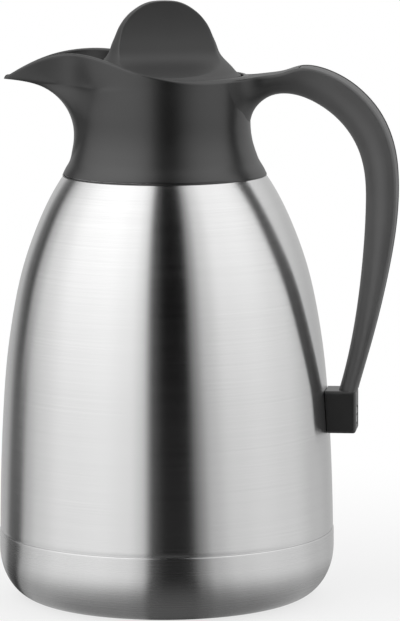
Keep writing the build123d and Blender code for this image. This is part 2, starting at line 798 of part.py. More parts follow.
with BuildPart() as stopper_bottom:
    with BuildSketch(Plane.XZ):
        with BuildLine():
            Polyline(
                (0, stopper_bottom_height), (cap_radius, stopper_bottom_height),
                (cap_radius, seal_bottom - clear), (cap_spigot, seal_bottom - clear),
                (cap_spigot, cap_spigot_top), (cap_bore, cap_spigot_top),
                (cap_bore, stopper_bottom_height + bottom_thickness),
                (0, stopper_bottom_height + bottom_thickness), close=True,
            )
        make_face()
    revolve()
    fillet(stopper_bottom.edges().group_by(Axis.Z)[0].sort_by(SortBy.LENGTH)[-1:], bottom_wall / 2)
save(stopper_bottom.part, "stopper_bottom")

# ---------------------------------------------------------------- stopper: seal
seal_radius = mouth_radius - seal_gap
seal_middle = (seal_bottom + seal_top) / 2

with BuildPart() as stopper_seal:
    with BuildSketch(Plane.XZ):
        with BuildLine():
            Polyline(
                (cap_spigot + clear, seal_bottom), (plug_low_radius, seal_bottom),
                (plug_low_radius, seal_middle - seal_lip), (seal_radius, seal_middle - seal_lip / 4),
                (seal_radius, seal_middle + seal_lip / 2), (plug_low_radius, seal_middle + seal_lip / 2),
                (plug_low_radius, seal_top), (cap_spigot + clear, seal_top), close=True,
            )
        make_face()
    revolve()
save(stopper_seal.part, "stopper_seal")

# ---------------------------------------------------------------- stopper: foam core
foam_bottom = stopper_bottom_height + bottom_thickness + clear
foam_top = flange_top + clear

with BuildPart() as stopper_insulation:
    with BuildSketch(Plane.XY.offset(foam_bottom)):
        Circle(cap_bore - foam_gap)
    extrude(amount=foam_top - foam_bottom)
save(stopper_insulation.part, "stopper_insulation")

# ---------------------------------------------------------------- stopper: grip
# A round bell with a scoop pressed into each side, so that a paddle is left to turn it by.
grip_foot = flange_top + clear
grip_radius = rim_radius - collar_wall - grip_gap
grip_edge = grip_foot + spigot_height
grip_base = grip_edge + grip_skirt
bell = (                        # radius of the bell, height above its foot
    (grip_radius, 0.0), (grip_radius - 1.6, 1.2), (grip_radius - 3.05, 2.8),
    (grip_radius - 6.3, 6.2), (grip_radius - 8.9, 9.5), (grip_radius - 10.2, 13.0),
    (grip_radius - 11.6, 16.3), (grip_radius - 13.0, 19.6), (grip_radius - 15.0, 22.9),
    (grip_radius - 18.0, 26.2), (grip_radius - 20.2, 27.9), (grip_radius - 25.0, 30.4),
    (0.0, grip_height),
)
bell_ends = ((-1.0, 0.55), (-1.0, 0.0))
scoop = (                       # side view of a scoop: distance from the axis, height
    (grip_radius + 2.0, 0.6), (grip_radius - 2.0, 1.4), (grip_radius - 6.4, 2.5),
    (grip_radius - 11.0, 3.8), (15.2, 6.0), (12.3, 7.8), (8.6, 12.3), (6.3, 16.5),
    (4.8, 20.5), (3.9, 24.5), (3.4, 29.0), (3.2, grip_height + 2.0),
)
paddle_room = ((13.0, -2.0), (10.0, 2.6), (6.6, 9.0), (4.2, 13.5), (2.5, 18.5), (1.6, 23.5))
room_radius = spigot_radius + clear
turned = Plane(origin=(0, 0, 0), x_dir=(
    math.cos(math.radians(stopper_turn)), math.sin(math.radians(stopper_turn)), 0,
), z_dir=(0, 0, 1))
across = Plane(origin=(0, 0, 0), x_dir=turned.y_dir, z_dir=turned.x_dir)


def slab(points):
    """Solid between an outline and its mirror image, seen along the paddle."""
    low = (points[0][0], grip_foot - flange_thickness)
    with BuildPart() as solid:
        with BuildSketch(across.offset(-grip_radius)):
            with BuildLine():
                right = Spline(*[(x, grip_base + h) for x, h in points])
                left = Spline(*[(-x, grip_base + h) for x, h in points])
                Polyline(right @ 0, low, (-low[0], low[1]), left @ 0)
                Line(right @ 1, left @ 1)
            make_face()
        extrude(amount=2 * grip_radius)
    return solid.part


def bell_form(inset, bottom):
    """The bell without its scoops, smaller by an inset, down to a height."""
    with BuildPart() as solid:
        with BuildSketch(Plane.XZ):
            with BuildLine():
                points = [(max(r - inset, 0.0), grip_base + h - inset) for r, h in bell]
                side = smooth(points, bell_ends)
                Polyline(side @ 1, (0, bottom), (points[0][0], bottom), side @ 0)
            make_face()
        revolve()
    return solid.part


with BuildPart() as grip_room:
    add(bell_form(grip_wall, grip_foot))
    add(slab(paddle_room), mode=Mode.INTERSECT)
    with BuildSketch(Plane.XY.offset(grip_foot)):
        Circle(room_radius)
    extrude(amount=spigot_height + 2 * grip_skirt / 3)

with BuildPart() as stopper_grip:
    add(bell_form(0, grip_edge))
    add(slab(scoop), mode=Mode.INTERSECT)
    with BuildSketch(Plane.XY.offset(grip_foot)):
        Circle(flange_radius)
    extrude(amount=grip_edge - grip_foot)
    add(grip_room.part, mode=Mode.SUBTRACT)
save(stopper_grip.part, "stopper_grip")
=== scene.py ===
# %% [markdown]
# # An insulated steel jug
#
# The jug has a brushed steel body with a pressed base cup, a black moulded head with a spout,
# a hollow handle with a cover strip, and a twist stopper with a scooped grip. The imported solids
# hold every real size. This lesson loads them, lays finer surfaces over the ones that show, and
# gives each piece a finish of its own.

import json
import math

import bpy
import numpy as np
from mathutils import Matrix


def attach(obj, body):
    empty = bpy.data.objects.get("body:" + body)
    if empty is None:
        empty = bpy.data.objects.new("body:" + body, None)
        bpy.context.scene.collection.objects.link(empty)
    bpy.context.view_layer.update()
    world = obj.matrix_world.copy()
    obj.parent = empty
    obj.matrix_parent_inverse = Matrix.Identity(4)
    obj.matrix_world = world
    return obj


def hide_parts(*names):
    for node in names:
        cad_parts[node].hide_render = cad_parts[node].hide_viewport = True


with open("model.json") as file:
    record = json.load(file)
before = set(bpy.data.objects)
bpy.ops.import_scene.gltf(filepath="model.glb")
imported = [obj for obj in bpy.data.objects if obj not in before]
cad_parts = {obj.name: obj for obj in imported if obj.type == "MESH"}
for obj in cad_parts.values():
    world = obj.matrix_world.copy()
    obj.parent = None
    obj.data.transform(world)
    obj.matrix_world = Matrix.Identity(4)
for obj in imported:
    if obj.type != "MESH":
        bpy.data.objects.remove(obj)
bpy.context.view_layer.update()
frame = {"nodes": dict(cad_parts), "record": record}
MM = 0.001

# %% [markdown]
# ## Camera
# A jug is best seen from far away through a long lens, so that it hardly tapers. The camera
# could be placed by eye, but then its lean would be lost. Here it is worked out from a few
# numbers in metres and degrees: how far it stands off, how high it is and how far it moves
# aside, which way it faces, how far it looks down and how far it is rolled.

# %% Camera
STAND_OFF = 1.71184
EYE_HEIGHT = 0.35712
AIM_RIGHT = 0.01446
AZIMUTH = math.radians(6.5)
LOOK_DOWN = math.radians(7.877)
ROLL = math.radians(0.285)
FOCAL = 4121.47  # focal length in pixels of a view that is VIEW_HEIGHT high
VIEW_HEIGHT = 621
SENSOR = 36.0
NEAREST, FARTHEST = 0.1, 20.0

side = np.array([math.cos(AZIMUTH), math.sin(AZIMUTH), 0.0])
ahead = np.array([
    -math.sin(AZIMUTH) * math.cos(LOOK_DOWN), math.cos(AZIMUTH) * math.cos(LOOK_DOWN),
    -math.sin(LOOK_DOWN),
])
upward = np.cross(side, ahead)
right = math.cos(ROLL) * side - math.sin(ROLL) * upward
top = math.sin(ROLL) * side + math.cos(ROLL) * upward
place = np.array([
    math.sin(AZIMUTH) * STAND_OFF, -math.cos(AZIMUTH) * STAND_OFF, EYE_HEIGHT,
]) + AIM_RIGHT * side

camera = bpy.data.objects.new("camera", bpy.data.cameras.new("camera"))
bpy.context.scene.collection.objects.link(camera)
turn = np.eye(4)
turn[:3, 0], turn[:3, 1], turn[:3, 2], turn[:3, 3] = right, top, -ahead, place
camera.matrix_world = Matrix(turn.tolist())
camera.data.lens = FOCAL * SENSOR / VIEW_HEIGHT
camera.data.sensor_width = SENSOR
camera.data.clip_start, camera.data.clip_end = NEAREST, FARTHEST
bpy.context.scene.camera = camera
bpy.context.scene.view_settings.view_transform = "Standard"
print("camera at", np.round(place, 3), "lens", round(camera.data.lens, 1))

# %% [markdown]
# ## Tools for surfaces
# Every new surface below is a grid of points, as a mould maker would lay sections along a path.
# Two tools are enough. The first is a curve that runs smoothly through given points. It could
# be drawn by hand with handles, but points that can be measured are easier to trust.

# %% Curves through points
CURVE_STEPS = 40  # steps between two points when a curve is measured


def unit(rows):
    """Arrows scaled to length 1."""
    rows = np.asarray(rows, float)
    return rows / np.linalg.norm(rows, axis=-1, keepdims=True)


def slopes(step, rise, ends=None):
    """Slopes at the points of an open curve, so that neighbouring cubics share slope and bend.
    With steps a and b before and after a point, and rises p and q along them, the slopes obey
    b * slope before + 2 * (a + b) * slope + a * slope after = 3 * (b * p + a * q).
    The end slopes are given by ends, or left free of bend."""
    count = len(step) + 1
    table, wanted = np.zeros((count, count)), np.zeros((count, rise.shape[1]))
    i = np.arange(1, count - 1)
    table[i, i - 1], table[i, i + 1] = step[1:], step[:-1]
    table[i, i] = 2 * (step[:-1] + step[1:])
    wanted[i] = 3 * (step[1:, None] * rise[:-1] + step[:-1, None] * rise[1:])
    if ends is None:
        table[0, :2], table[-1, -2:] = (2, 1), (1, 2)
        wanted[0], wanted[-1] = 3 * rise[0], 3 * rise[-1]
    else:
        table[0, 0] = table[-1, -1] = 1
        wanted[0], wanted[-1] = unit(ends)
    return np.linalg.solve(table, wanted)


def hermite(start, end, leave, arrive, t):
    """Point at share t of a cubic from start to end that leaves and arrives along given arrows:
    each end counts by (1 + 2t)(1 - t)^2, read from its own side, and each arrow by t(1 - t)^2."""
    return (
        (1 + 2 * t) * (1 - t) ** 2 * start + t * (1 - t) ** 2 * leave
        + t * t * (3 - 2 * t) * end - t * t * (1 - t) * arrive
    )


def through(points, at, ends=None, knots=None):
    """Smooth curve through points, read at places counted in points: 1.5 is halfway from the
    second point to the third. The cubics are spaced by the distance between points."""
    points = np.asarray(points, float)
    step = np.linalg.norm(np.diff(points, axis=0), axis=1) if knots is None else np.diff(knots)
    rise = np.diff(points, axis=0) / step[:, None]
    slope = slopes(step, rise, ends)
    at = np.asarray(at, float)
    k = np.clip(at.astype(int), 0, len(step) - 1)
    t = (at - k)[..., None]
    stretch = step[k][..., None]
    return hermite(points[k], points[k + 1], slope[k] * stretch, slope[k + 1] * stretch, t)


def height_over(table, x):
    """Smooth function through pairs (x, value), read at x."""
    table = np.asarray(table, float)
    x = np.asarray(x, float)
    k = np.clip(np.searchsorted(table[:, 0], x, side="right") - 1, 0, len(table) - 2)
    at = k + (x - table[k, 0]) / np.diff(table[:, 0])[k]
    return through(table[:, 1:], at, knots=table[:, 0])[..., 0]


def run_along(line):
    """Distance along a line of points, at each of its points."""
    return np.concatenate([[0], np.cumsum(np.linalg.norm(np.diff(line, axis=0), axis=1))])


def even(curve, count, ends):
    """The same smooth curve as count points at even distances along it."""
    fine = through(curve, np.linspace(0, len(curve) - 1, CURVE_STEPS * len(curve)), ends)
    run = run_along(fine)
    want = np.linspace(0, run[-1], count)
    return np.stack([np.interp(want, run, fine[:, i]) for i in range(fine.shape[1])], axis=1)


def rounded(corner, before, after, radius, count=7):
    """Arc of given radius that replaces a corner of a profile. Its middle lies on the line that
    halves the corner, at radius / sin(half the corner), so it touches both sides."""
    corner, before, after = (np.array(p, float) for p in (corner, before, after))
    a, b = unit(before - corner), unit(after - corner)
    half = math.acos(float(a @ b)) / 2
    centre = corner + unit(a + b) * radius / math.sin(half)
    first, last = corner + a * radius / math.tan(half), corner + b * radius / math.tan(half)
    swing = math.pi - 2 * half
    t = np.linspace(0, 1, count)[:, None]
    blend = np.sin((1 - t) * swing) * (first - centre) + np.sin(t * swing) * (last - centre)
    return centre + blend / math.sin(swing)


# %% [markdown]
# The second tool is a skin. It joins the rows of a grid into faces, closes it where it should be
# closed and turns it outwards. A grid keeps its lines along the shape, so it shades evenly.

# %% Skins over grids of points
SMOOTH_UNDER = math.radians(38)


def skin(name, grid, tube=False, cap_start=False, cap_end=False):
    """Mesh from a grid of points in millimetres, rows by places along each row. Each row is a
    ring. tube joins the last row to the first, and a cap closes an end row with a fan to its
    middle. The faces face outwards where the sum of a . (b x c) / 6 over all triangles, which
    is the enclosed volume, is above zero. Otherwise every face is turned round."""
    rows, places = grid.shape[:2]
    points = grid.reshape(-1, 3)
    numbers = np.arange(rows * places).reshape(rows, places)
    numbers = np.hstack([numbers, numbers[:, :1]])
    if tube:
        numbers = np.vstack([numbers, numbers[:1]])
    quads = np.stack(
        [numbers[:-1, :-1], numbers[:-1, 1:], numbers[1:, 1:], numbers[1:, :-1]], axis=-1
    ).reshape(-1, 4)
    fans = []
    for wanted, row, order in ((cap_start, numbers[0], 1), (cap_end, numbers[-1], -1)):
        if wanted:
            middle = points[row[:-1]].mean(axis=0)
            pole = np.full(len(row) - 1, len(points))
            points = np.vstack([points, middle])
            fans.append(np.stack([row[1:], row[:-1], pole], axis=-1)[:, ::order])
    fans = np.vstack(fans) if fans else np.zeros((0, 3), int)
    corners = np.vstack([quads[:, [0, 1, 2]], quads[:, [0, 2, 3]], fans])
    a, b, c = points[corners[:, 0]], points[corners[:, 1]], points[corners[:, 2]]
    volume = float(np.einsum("ij,ij->i", a, np.cross(b, c)).sum() / 6)
    if volume < 0:
        quads, fans = quads[:, ::-1], fans[:, ::-1]
    mesh = bpy.data.meshes.new(name)
    mesh.from_pydata((points * MM).tolist(), [], quads.tolist() + fans.tolist())
    mesh.polygons.foreach_set("use_smooth", np.ones(len(mesh.polygons), bool))
    mesh.set_sharp_from_angle(angle=SMOOTH_UNDER)
    piece = bpy.data.objects.new(name, mesh)
    bpy.context.scene.collection.objects.link(piece)
    print(f"{name}: {len(corners)} triangles, {abs(volume) / 1000:.1f} ml enclosed")
    return piece


def around(radius, angle, height):
    """Points round the upright axis: radius * cos(angle), radius * sin(angle), height."""
    radius, angle, height = np.broadcast_arrays(radius, angle, height)
    return np.stack([radius * np.cos(angle), radius * np.sin(angle), height], axis=-1)


def turned(name, profile, places=256, solid=False):
    """Turned piece: a profile of (radius, height) carried once round the upright axis. The
    profile is a closed ring, or for a solid piece it starts and ends beside the axis."""
    profile = np.asarray(profile, float)
    angle = np.linspace(0, 2 * math.pi, places, endpoint=False)
    grid = around(profile[:, :1], angle, profile[:, 1:])
    return skin(name, grid, tube=not solid, cap_start=solid, cap_end=solid)


# %% [markdown]
# ## The steel shell
# The shell is spun from sheet: a wide belly that draws in over the shoulder to a straight neck.
# A turned profile gives exactly that, and it is rounder than a box pulled into shape. The
# outside follows the same points as the solid, the inside runs a sheet's thickness within, and
# the two are joined at both edges.

# %% Steel shell
NECK_RADIUS, NECK_TOP = 31.5, 197.4
LAP_RADIUS = 69.8  # the foot of the shell, which the cup laps over
LAP_FOOT, LAP_TOP = 22.0, 28.5
SHELL_SIDE = (  # radius, height
    (70.15, 29.5), (69.35, 60.0), (68.3, 80.0), (66.65, 100.0), (63.75, 120.0), (59.25, 140.0),
    (54.0, 155.0), (48.1, 168.0), (42.05, 178.0), (36.6, 184.2), (NECK_RADIUS, 190.5),
)
SHELL_ENDS = ((-0.01, 1.0), (0.0, 1.0))
SHEET = 0.7


def beside(path, distance):
    """Points moved sideways from a path, to the left of its direction, by a distance."""
    along = unit(np.gradient(path, axis=0))
    return path + distance * np.stack([-along[:, 1], along[:, 0]], axis=1)


shell_outside = even(SHELL_SIDE, 150, SHELL_ENDS)
shell_inside = beside(shell_outside, SHEET)[::-3]
shell = turned("steel_shell", np.vstack([
    [(LAP_RADIUS, LAP_FOOT), (LAP_RADIUS, LAP_TOP)], shell_outside,
    [(NECK_RADIUS, NECK_TOP), (NECK_RADIUS - SHEET, NECK_TOP)], shell_inside,
    [(LAP_RADIUS - SHEET, LAP_TOP), (LAP_RADIUS - SHEET, LAP_FOOT)],
]))
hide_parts("outer_shell")
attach(shell, "jug")

# %% [markdown]
# ## The base cup
# The cup is pressed from thinner sheet, slipped over the foot of the shell and stands a hair
# proud of it, so a fine seam runs round the jug. The lip of the cup is rounded over, which is
# what makes the seam catch light.

# %% Base cup
CUP_RADIUS = 70.45
CUP_SHEET = 0.6
CUP_TOP = 28.5
CORNER = (54.5, 21.4)  # middle of the rounded corner: radius, height
STAND_RADIUS = 50.0  # inner edge of the ring that the jug stands on
HOLLOW_RADIUS, HOLLOW_RISE = 47.0, 4.0
SEAM_ROUND, FOOT_ROUND = 0.35, 1.0
MIDDLE = 0.4  # a fan closes the floor within this radius

sweep = np.linspace(-math.pi / 2, 0, 48)[:, None]
corner_outside = np.hstack([
    CORNER[0] + (CUP_RADIUS - CORNER[0]) * np.cos(sweep), CORNER[1] * (1 + np.sin(sweep))
])
corner_inside = np.hstack([
    CORNER[0] + (CUP_RADIUS - CUP_SHEET - CORNER[0]) * np.cos(sweep),
    CORNER[1] + (CORNER[1] - CUP_SHEET) * np.sin(sweep),
])
lip = rounded((CUP_RADIUS, CUP_TOP), (CUP_RADIUS, 20.0), (60.0, CUP_TOP), SEAM_ROUND)
stand, hollow = (STAND_RADIUS, 0.0), (HOLLOW_RADIUS, HOLLOW_RISE)
foot_ring = rounded(stand, hollow, (60.0, 0.0), FOOT_ROUND)
hollow_edge = rounded(hollow, (40.0, HOLLOW_RISE), stand, FOOT_ROUND)
inner_floor = HOLLOW_RISE + CUP_SHEET
cup = turned("base_cup_skin", np.vstack([
    [(MIDDLE, HOLLOW_RISE), (20.0, HOLLOW_RISE)], hollow_edge, foot_ring, corner_outside,
    [(CUP_RADIUS, 24.5), (CUP_RADIUS, 27.5)], lip,
    [(CUP_RADIUS - CUP_SHEET, CUP_TOP), (CUP_RADIUS - CUP_SHEET, 24.0)], corner_inside[::-4],
    [(STAND_RADIUS + 0.6, CUP_SHEET), (HOLLOW_RADIUS + 0.4, inner_floor)],
    [(20.0, inner_floor), (MIDDLE, inner_floor)],
]), solid=True)
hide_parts("base_cup")
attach(cup, "jug")

# %% [markdown]
# ## The pouring head
# The head is one moulding: a flared collar that draws out into a beak. It could be sculpted, but
# a beak is easier to control as a stack of level outlines. Each of them is a teardrop, a round
# body and a small nose joined by a smooth curve. Between the levels the radius and the reach of
# the nose change smoothly, and the beak gets narrower towards its tip.

# %% Level outlines of the head
TIP_HEIGHT = 217.4
SPOUT_REACH = 67.4
RIM_RADIUS = 35.5
NOSE_RADIUS = 3.2
NOSE_SWELL, NOSE_FADE = 27.0, 8.0  # a nose that hardly stands out is rounder, up to this reach
LEAST_NOSE = 0.03
WALL = 2.4
HEAD_LEVELS = (  # height, radius, reach of the nose, share of the beak's width
    (177.3, 42.85, 42.88, 1.0), (180.4, 41.45, 41.48, 1.0), (183.8, 39.45, 39.6, 1.0),
    (187.1, 38.15, 38.79, 1.0), (190.4, 37.1, 38.18, 1.0), (197.1, 36.0, 38.01, 1.0),
    (202.6, 35.9, 39.5, 0.95), (207.6, 35.8, 42.6, 0.78), (211.4, 35.7, 46.6, 0.57),
    (214.2, 35.6, 51.4, 0.40), (216.2, 35.55, 58.2, 0.31),
    (TIP_HEIGHT, RIM_RADIUS, SPOUT_REACH, 0.24),
)
SLIM_START, SLIM_RUN = 22.0, 27.0  # the beak narrows from here, over this length
ON_BODY, ON_SIDE, ON_NOSE = 7, 6, 3  # steps on each part of half an outline
FINE = 10  # places on every step of the smooth curve


def teardrops(levels, wall):
    """Level outlines, one row each: points on a body circle, on a straight side and on a nose
    circle. The side touches both circles where cos(lean) = (radius - nose) / centre. The sides
    of the beak are then drawn in by a smooth step, r^2 (3 - 2r) over the run r from where the
    beak starts, and one smooth closed curve joins the points. wall moves it inwards."""
    radius, reach = levels[:, 1], np.maximum(levels[:, 2], levels[:, 1] + LEAST_NOSE)
    nose = NOSE_RADIUS + NOSE_SWELL * np.exp(-(reach - radius) / NOSE_FADE)
    centre = reach - nose
    lean = np.arccos((radius - nose) / centre)
    body, tip = radius - wall, nose - min(wall, 0.6 * NOSE_RADIUS)
    share = np.arange(ON_BODY + 1) / ON_BODY
    a = math.pi - share * (math.pi - lean[:, None])
    half_x, half_y = -body[:, None] * np.cos(a), body[:, None] * np.sin(a)
    a = lean[:, None] * (1 - np.arange(ON_NOSE + 1) / ON_NOSE)
    half_x = np.hstack([half_x, -centre[:, None] - tip[:, None] * np.cos(a)])
    half_y = np.hstack([half_y, tip[:, None] * np.sin(a)])
    side = np.arange(1, ON_SIDE) / ON_SIDE
    half_x, half_y = (np.hstack([
        h[:, :ON_BODY + 1], h[:, [ON_BODY]] * (1 - side) + h[:, [ON_BODY + 1]] * side,
        h[:, ON_BODY + 1:],
    ]) for h in (half_x, half_y))
    run = np.clip((-half_x - SLIM_START) / SLIM_RUN, 0, 1)
    half_y = half_y * (1 - (1 - levels[:, 3:]) * run**2 * (3 - 2 * run))
    points = np.stack([
        np.hstack([half_x, half_x[:, -2:0:-1]]), np.hstack([half_y, -half_y[:, -2:0:-1]])
    ], axis=-1)
    return closed_curves(points, FINE)


def closed_curves(points, fine):
    """Smooth closed curves through each row of points, with fine places on every stretch. The
    slopes obey the same rule as those of an open curve, and the ends are neighbours."""
    step = np.linalg.norm(np.roll(points, -1, axis=1) - points, axis=2)
    rise = (np.roll(points, -1, axis=1) - points) / step[..., None]
    before = np.roll(step, 1, axis=1)
    rows, count = step.shape
    table, i = np.zeros((rows, count, count)), np.arange(count)
    table[:, i, i - 1], table[:, i, (i + 1) % count] = step, before
    table[:, i, i] = 2 * (before + step)
    wanted = 3 * (step[..., None] * np.roll(rise, 1, axis=1) + before[..., None] * rise)
    slope = np.linalg.solve(table, wanted)
    t = (np.arange(fine) / fine)[:, None]
    curve = hermite(
        points[:, :, None], np.roll(points, -1, axis=1)[:, :, None],
        (slope * step[..., None])[:, :, None],
        (np.roll(slope, -1, axis=1) * step[..., None])[:, :, None], t,
    )
    return curve.reshape(rows, count * fine, 2)


def raised(outline, height):
    """Rows of level outlines, each put at its height."""
    height = np.broadcast_to(height, outline.shape[:2])
    return np.concatenate([outline, height[..., None]], axis=-1)


# %% [markdown]
# Above the tip of the spout the flank of the beak runs on up in straight lines, out to a wider
# outline. The top edge cuts it along a curve that is drawn in side view, as it would be filed.

# %% Flank and rim
LEVEL_TOP = TIP_HEIGHT + 14.6
FLANK_FLARE = 5.0
TOP_SLIM = 0.64  # share of the beak's width at the top level
RIM_LINE = (  # place along the jug, height above the tip of the spout
    (-71.4, -2.0), (-67.4, 0.6), (-59.6, 5.2), (-47.3, 10.2), (-35.0, 11.8), (-23.0, 10.4),
    (-9.0, 6.1), (4.2, 3.0), (17.0, 1.3), (28.0, 1.1), (46.0, 2.2),
)
FIRST_GUESS, GUESSES = 2.0, 25  # height above the tip where meet_rim starts, and its rounds
SOFT_ROWS, SOFT_ROUNDS = 11, 90
SHARP_TO, SHARP_RUN = -66.0, 8.0  # the beak stays sharp from its point to here, then less


def between(wall, lift):
    """The flank above the tip of the spout as a function of height: straight lines from the
    outline at the tip to a wider one at the top level, low + (high - low) * share."""
    ends = np.array([
        HEAD_LEVELS[-1],
        (LEVEL_TOP, RIM_RADIUS, SPOUT_REACH + FLANK_FLARE, TOP_SLIM),
    ])
    low, high = teardrops(ends, wall)

    def flank(height):
        share = (height - TIP_HEIGHT - lift) / (LEVEL_TOP - TIP_HEIGHT)
        return low + (high - low) * share[..., None]

    return flank


def rim_height(x):
    """Height of the rim above the table at a place along the jug."""
    return TIP_HEIGHT + height_over(RIM_LINE, x)


def meet_rim(flank):
    """Where each line of a flank meets the rim: the height that agrees with its own place. It
    starts from a guess and takes the rim's height at the flank's place again and again."""
    height = np.full(flank(np.zeros(1)).shape[-2], TIP_HEIGHT + FIRST_GUESS)
    for _ in range(GUESSES):
        height = rim_height(flank(height)[..., 0])
    return height


def soften(rows, middle):
    """Take the crease out of the flank at the level of the tip: points near the middle row move
    towards the mean of their neighbours above and below, and the point of the beak stays."""
    near = np.clip(1 - np.abs(np.arange(len(rows)) - middle) / SOFT_ROWS, 0, 1)[:, None]
    weight = 0.5 * near * np.clip((rows[middle, :, 0] - SHARP_TO) / SHARP_RUN, 0, 1)
    for _ in range(SOFT_ROUNDS):
        mean = (np.roll(rows, 1, axis=0) + np.roll(rows, -1, axis=0)) / 2
        rows = rows + weight[..., None] * (mean - rows)
    return rows


# %% [markdown]
# Both parts are read as rows from the foot up to the edge of the rim. The crease where they meet
# is softened last, so the beak reads as one surface.

# %% Outside of the head
RIM_ROUND = 1.0
CHANNEL_RISE = 1.2  # the inside of the beak lies this much above its outside
FOOT_ROWS = 3  # rows at the foot that give way to its rounded edge

outer_levels = through(HEAD_LEVELS, np.linspace(0, len(HEAD_LEVELS) - 1, 84))
outer_rows = raised(teardrops(outer_levels, 0.0), outer_levels[:, :1])[FOOT_ROWS:]

outer_flank, inner_flank = between(0.0, 0.0), between(WALL, CHANNEL_RISE)
floor_height = TIP_HEIGHT + CHANNEL_RISE
outer_top = np.maximum(meet_rim(outer_flank) - RIM_ROUND, TIP_HEIGHT + 0.05)
inner_top = np.maximum(meet_rim(inner_flank) - RIM_ROUND, floor_height + 0.1)

share = np.linspace(0, 1, 14)[1:, None]
heights = TIP_HEIGHT + share * (outer_top - TIP_HEIGHT)
flank_rows = raised(outer_flank(heights), heights)
outside = soften(np.concatenate([outer_rows, flank_rows]), len(outer_rows) - 1)
print("the rim is", round(float(outer_top.max() + RIM_ROUND), 1), "mm above the table")

# %% [markdown]
# The rim is rounded over like a real moulded edge. Inside, the same outlines run a wall's
# thickness in, down to the bore that holds the neck ring. All rows together make one tube that
# closes on itself, so the moulding is a solid with a real wall.

# %% Rim, channel and bore
BORE = 33.55
HEAD_FOOT = 177.3
CHANNEL_END = 7  # place in the levels where the channel opens into the bore

bend = np.linspace(0, math.pi, 13)[1:-1, None]
cross = (1 - np.cos(bend)) / 2
rim_plan = (
    outer_flank(outer_top) * (1 - cross[..., None]) + inner_flank(inner_top) * cross[..., None]
)
rim_rows = raised(
    rim_plan, outer_top * (1 - cross) + inner_top * cross + RIM_ROUND * np.sin(bend)
)

heights = floor_height + (1 - np.linspace(0, 1, 10)[:, None]) * (inner_top - floor_height)
inner_rows = raised(inner_flank(heights), heights)
channel_levels = through(
    HEAD_LEVELS, np.linspace(len(HEAD_LEVELS) - 1, CHANNEL_END, 22)[1:]
)
channel_rows = raised(teardrops(channel_levels, WALL), channel_levels[:, :1] + CHANNEL_RISE)

column = np.arctan2(channel_rows[-1, :, 1], channel_rows[-1, :, 0])
bore_line = np.vstack([
    [(BORE, 208.7), (BORE, 206.0), (BORE, 199.0), (BORE, 191.0), (35.2, 188.5)],
    [(37.1, 183.8), (40.45, 178.6)],
    rounded((40.45, HEAD_FOOT), (40.45, 180.0), (42.0, HEAD_FOOT), 0.3),
    rounded((42.85, HEAD_FOOT), (41.0, HEAD_FOOT), (42.4, 178.6), 0.55),
])
bore_rows = around(bore_line[:, :1], column, bore_line[:, 1:])
head = skin("head_moulding", np.concatenate([
    outside, rim_rows, inner_rows, channel_rows, bore_rows
]), tube=True)
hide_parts("pouring_head")
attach(head, "jug")

# %% [markdown]
# ## The handle
# The handle leaves the back of the collar, arches out and comes down to the block. Its section
# changes on the way, so it is swept. A curve with one fixed bevel would be quicker, but it could
# not change its shape. At each station the section spans from the edge of the finger gap to the
# back. It is round like the letter D under the fingers, and has small rounds outside and a
# shallow pocket for the cover strip.

# %% Handle sections
GAP_EDGE = (  # edge of the finger gap: along the jug, height
    (34.9, 193.5), (35.4, 197.5), (36.0, 200.6), (37.1, 203.9), (40.0, 207.8), (45.0, 211.0),
    (50.55, 211.9), (56.55, 211.0), (64.35, 207.6), (72.95, 201.0), (78.25, 194.3),
    (81.55, 187.5), (83.55, 179.5), (84.15, 165.0), (82.6, 140.5), (79.0, 113.5), (73.1, 88.2),
)
BACK_EDGE = (
    (34.9, 218.8), (41.6, 219.7), (49.55, 220.9), (56.95, 223.0), (64.05, 222.4),
    (71.05, 219.9), (77.05, 216.5), (84.65, 210.0), (89.75, 203.5), (93.35, 196.5),
    (96.25, 186.5), (97.35, 174.0), (97.05, 163.0), (93.3, 137.2), (87.0, 110.2), (80.8, 88.2),
)
GAP_ENDS, BACK_ENDS = ((0.1, 1.0), (-0.3, -1.0)), ((1.0, 0.1), (-0.28, -1.0))
ACROSS = (  # place on the gap edge, and the place on the back opposite it
    (3.0, 0.2), (4.0, 0.75), (5.0, 1.45), (6.0, 2.1), (7.0, 3.15), (8.0, 5.1), (9.0, 6.95),
    (10.0, 8.3), (11.0, 9.4), (12.0, 10.4), (13.0, 11.85), (14.0, 12.9), (15.0, 13.95),
    (16.0, 15.0),
)
HALF_WIDTHS = (  # height, half of the handle's width
    (60.0, 8.0), (88.2, 8.0), (140.2, 9.5), (195.0, 10.0), (240.0, 10.0),
)
INNER_FLAT = 1.0  # half of what stays flat on the finger side
ROUND_DEPTH, ROUND_SHARE = 10.5, 0.74  # depth of the round, at most this share of the bar
BACK_ROUND = 1.4
SIDE_CROWN = 0.12  # how far the ends of the side lie behind its middle
SIDE_WALL = 2.4
POCKET = 2.15
LEAVES_ROOT = 4.75  # place on the gap edge where the section is full


def stations(place):
    """Gap edge, back edge and half width at places along the handle."""
    gap = through(GAP_EDGE, place, GAP_ENDS)
    back = through(BACK_EDGE, height_over(ACROSS, place), BACK_ENDS)
    return gap, back, height_over(HALF_WIDTHS, (gap[..., 1] + back[..., 1]) / 2)


def mirrored(half_across, half_out):
    """Whole sections from their halves: the same points again on the other side, backwards."""
    return (
        np.hstack([half_across, -half_across[:, -2:0:-1]]),
        np.hstack([half_out, half_out[:, -2:0:-1]]),
    )


def placed(start, normal, across, out):
    """Sections in space: out counts along the normal of each station, from its start."""
    return np.stack([
        start[:, :1] + normal[:, :1] * out, across, start[:, 1:] + normal[:, 1:] * out
    ], axis=-1)


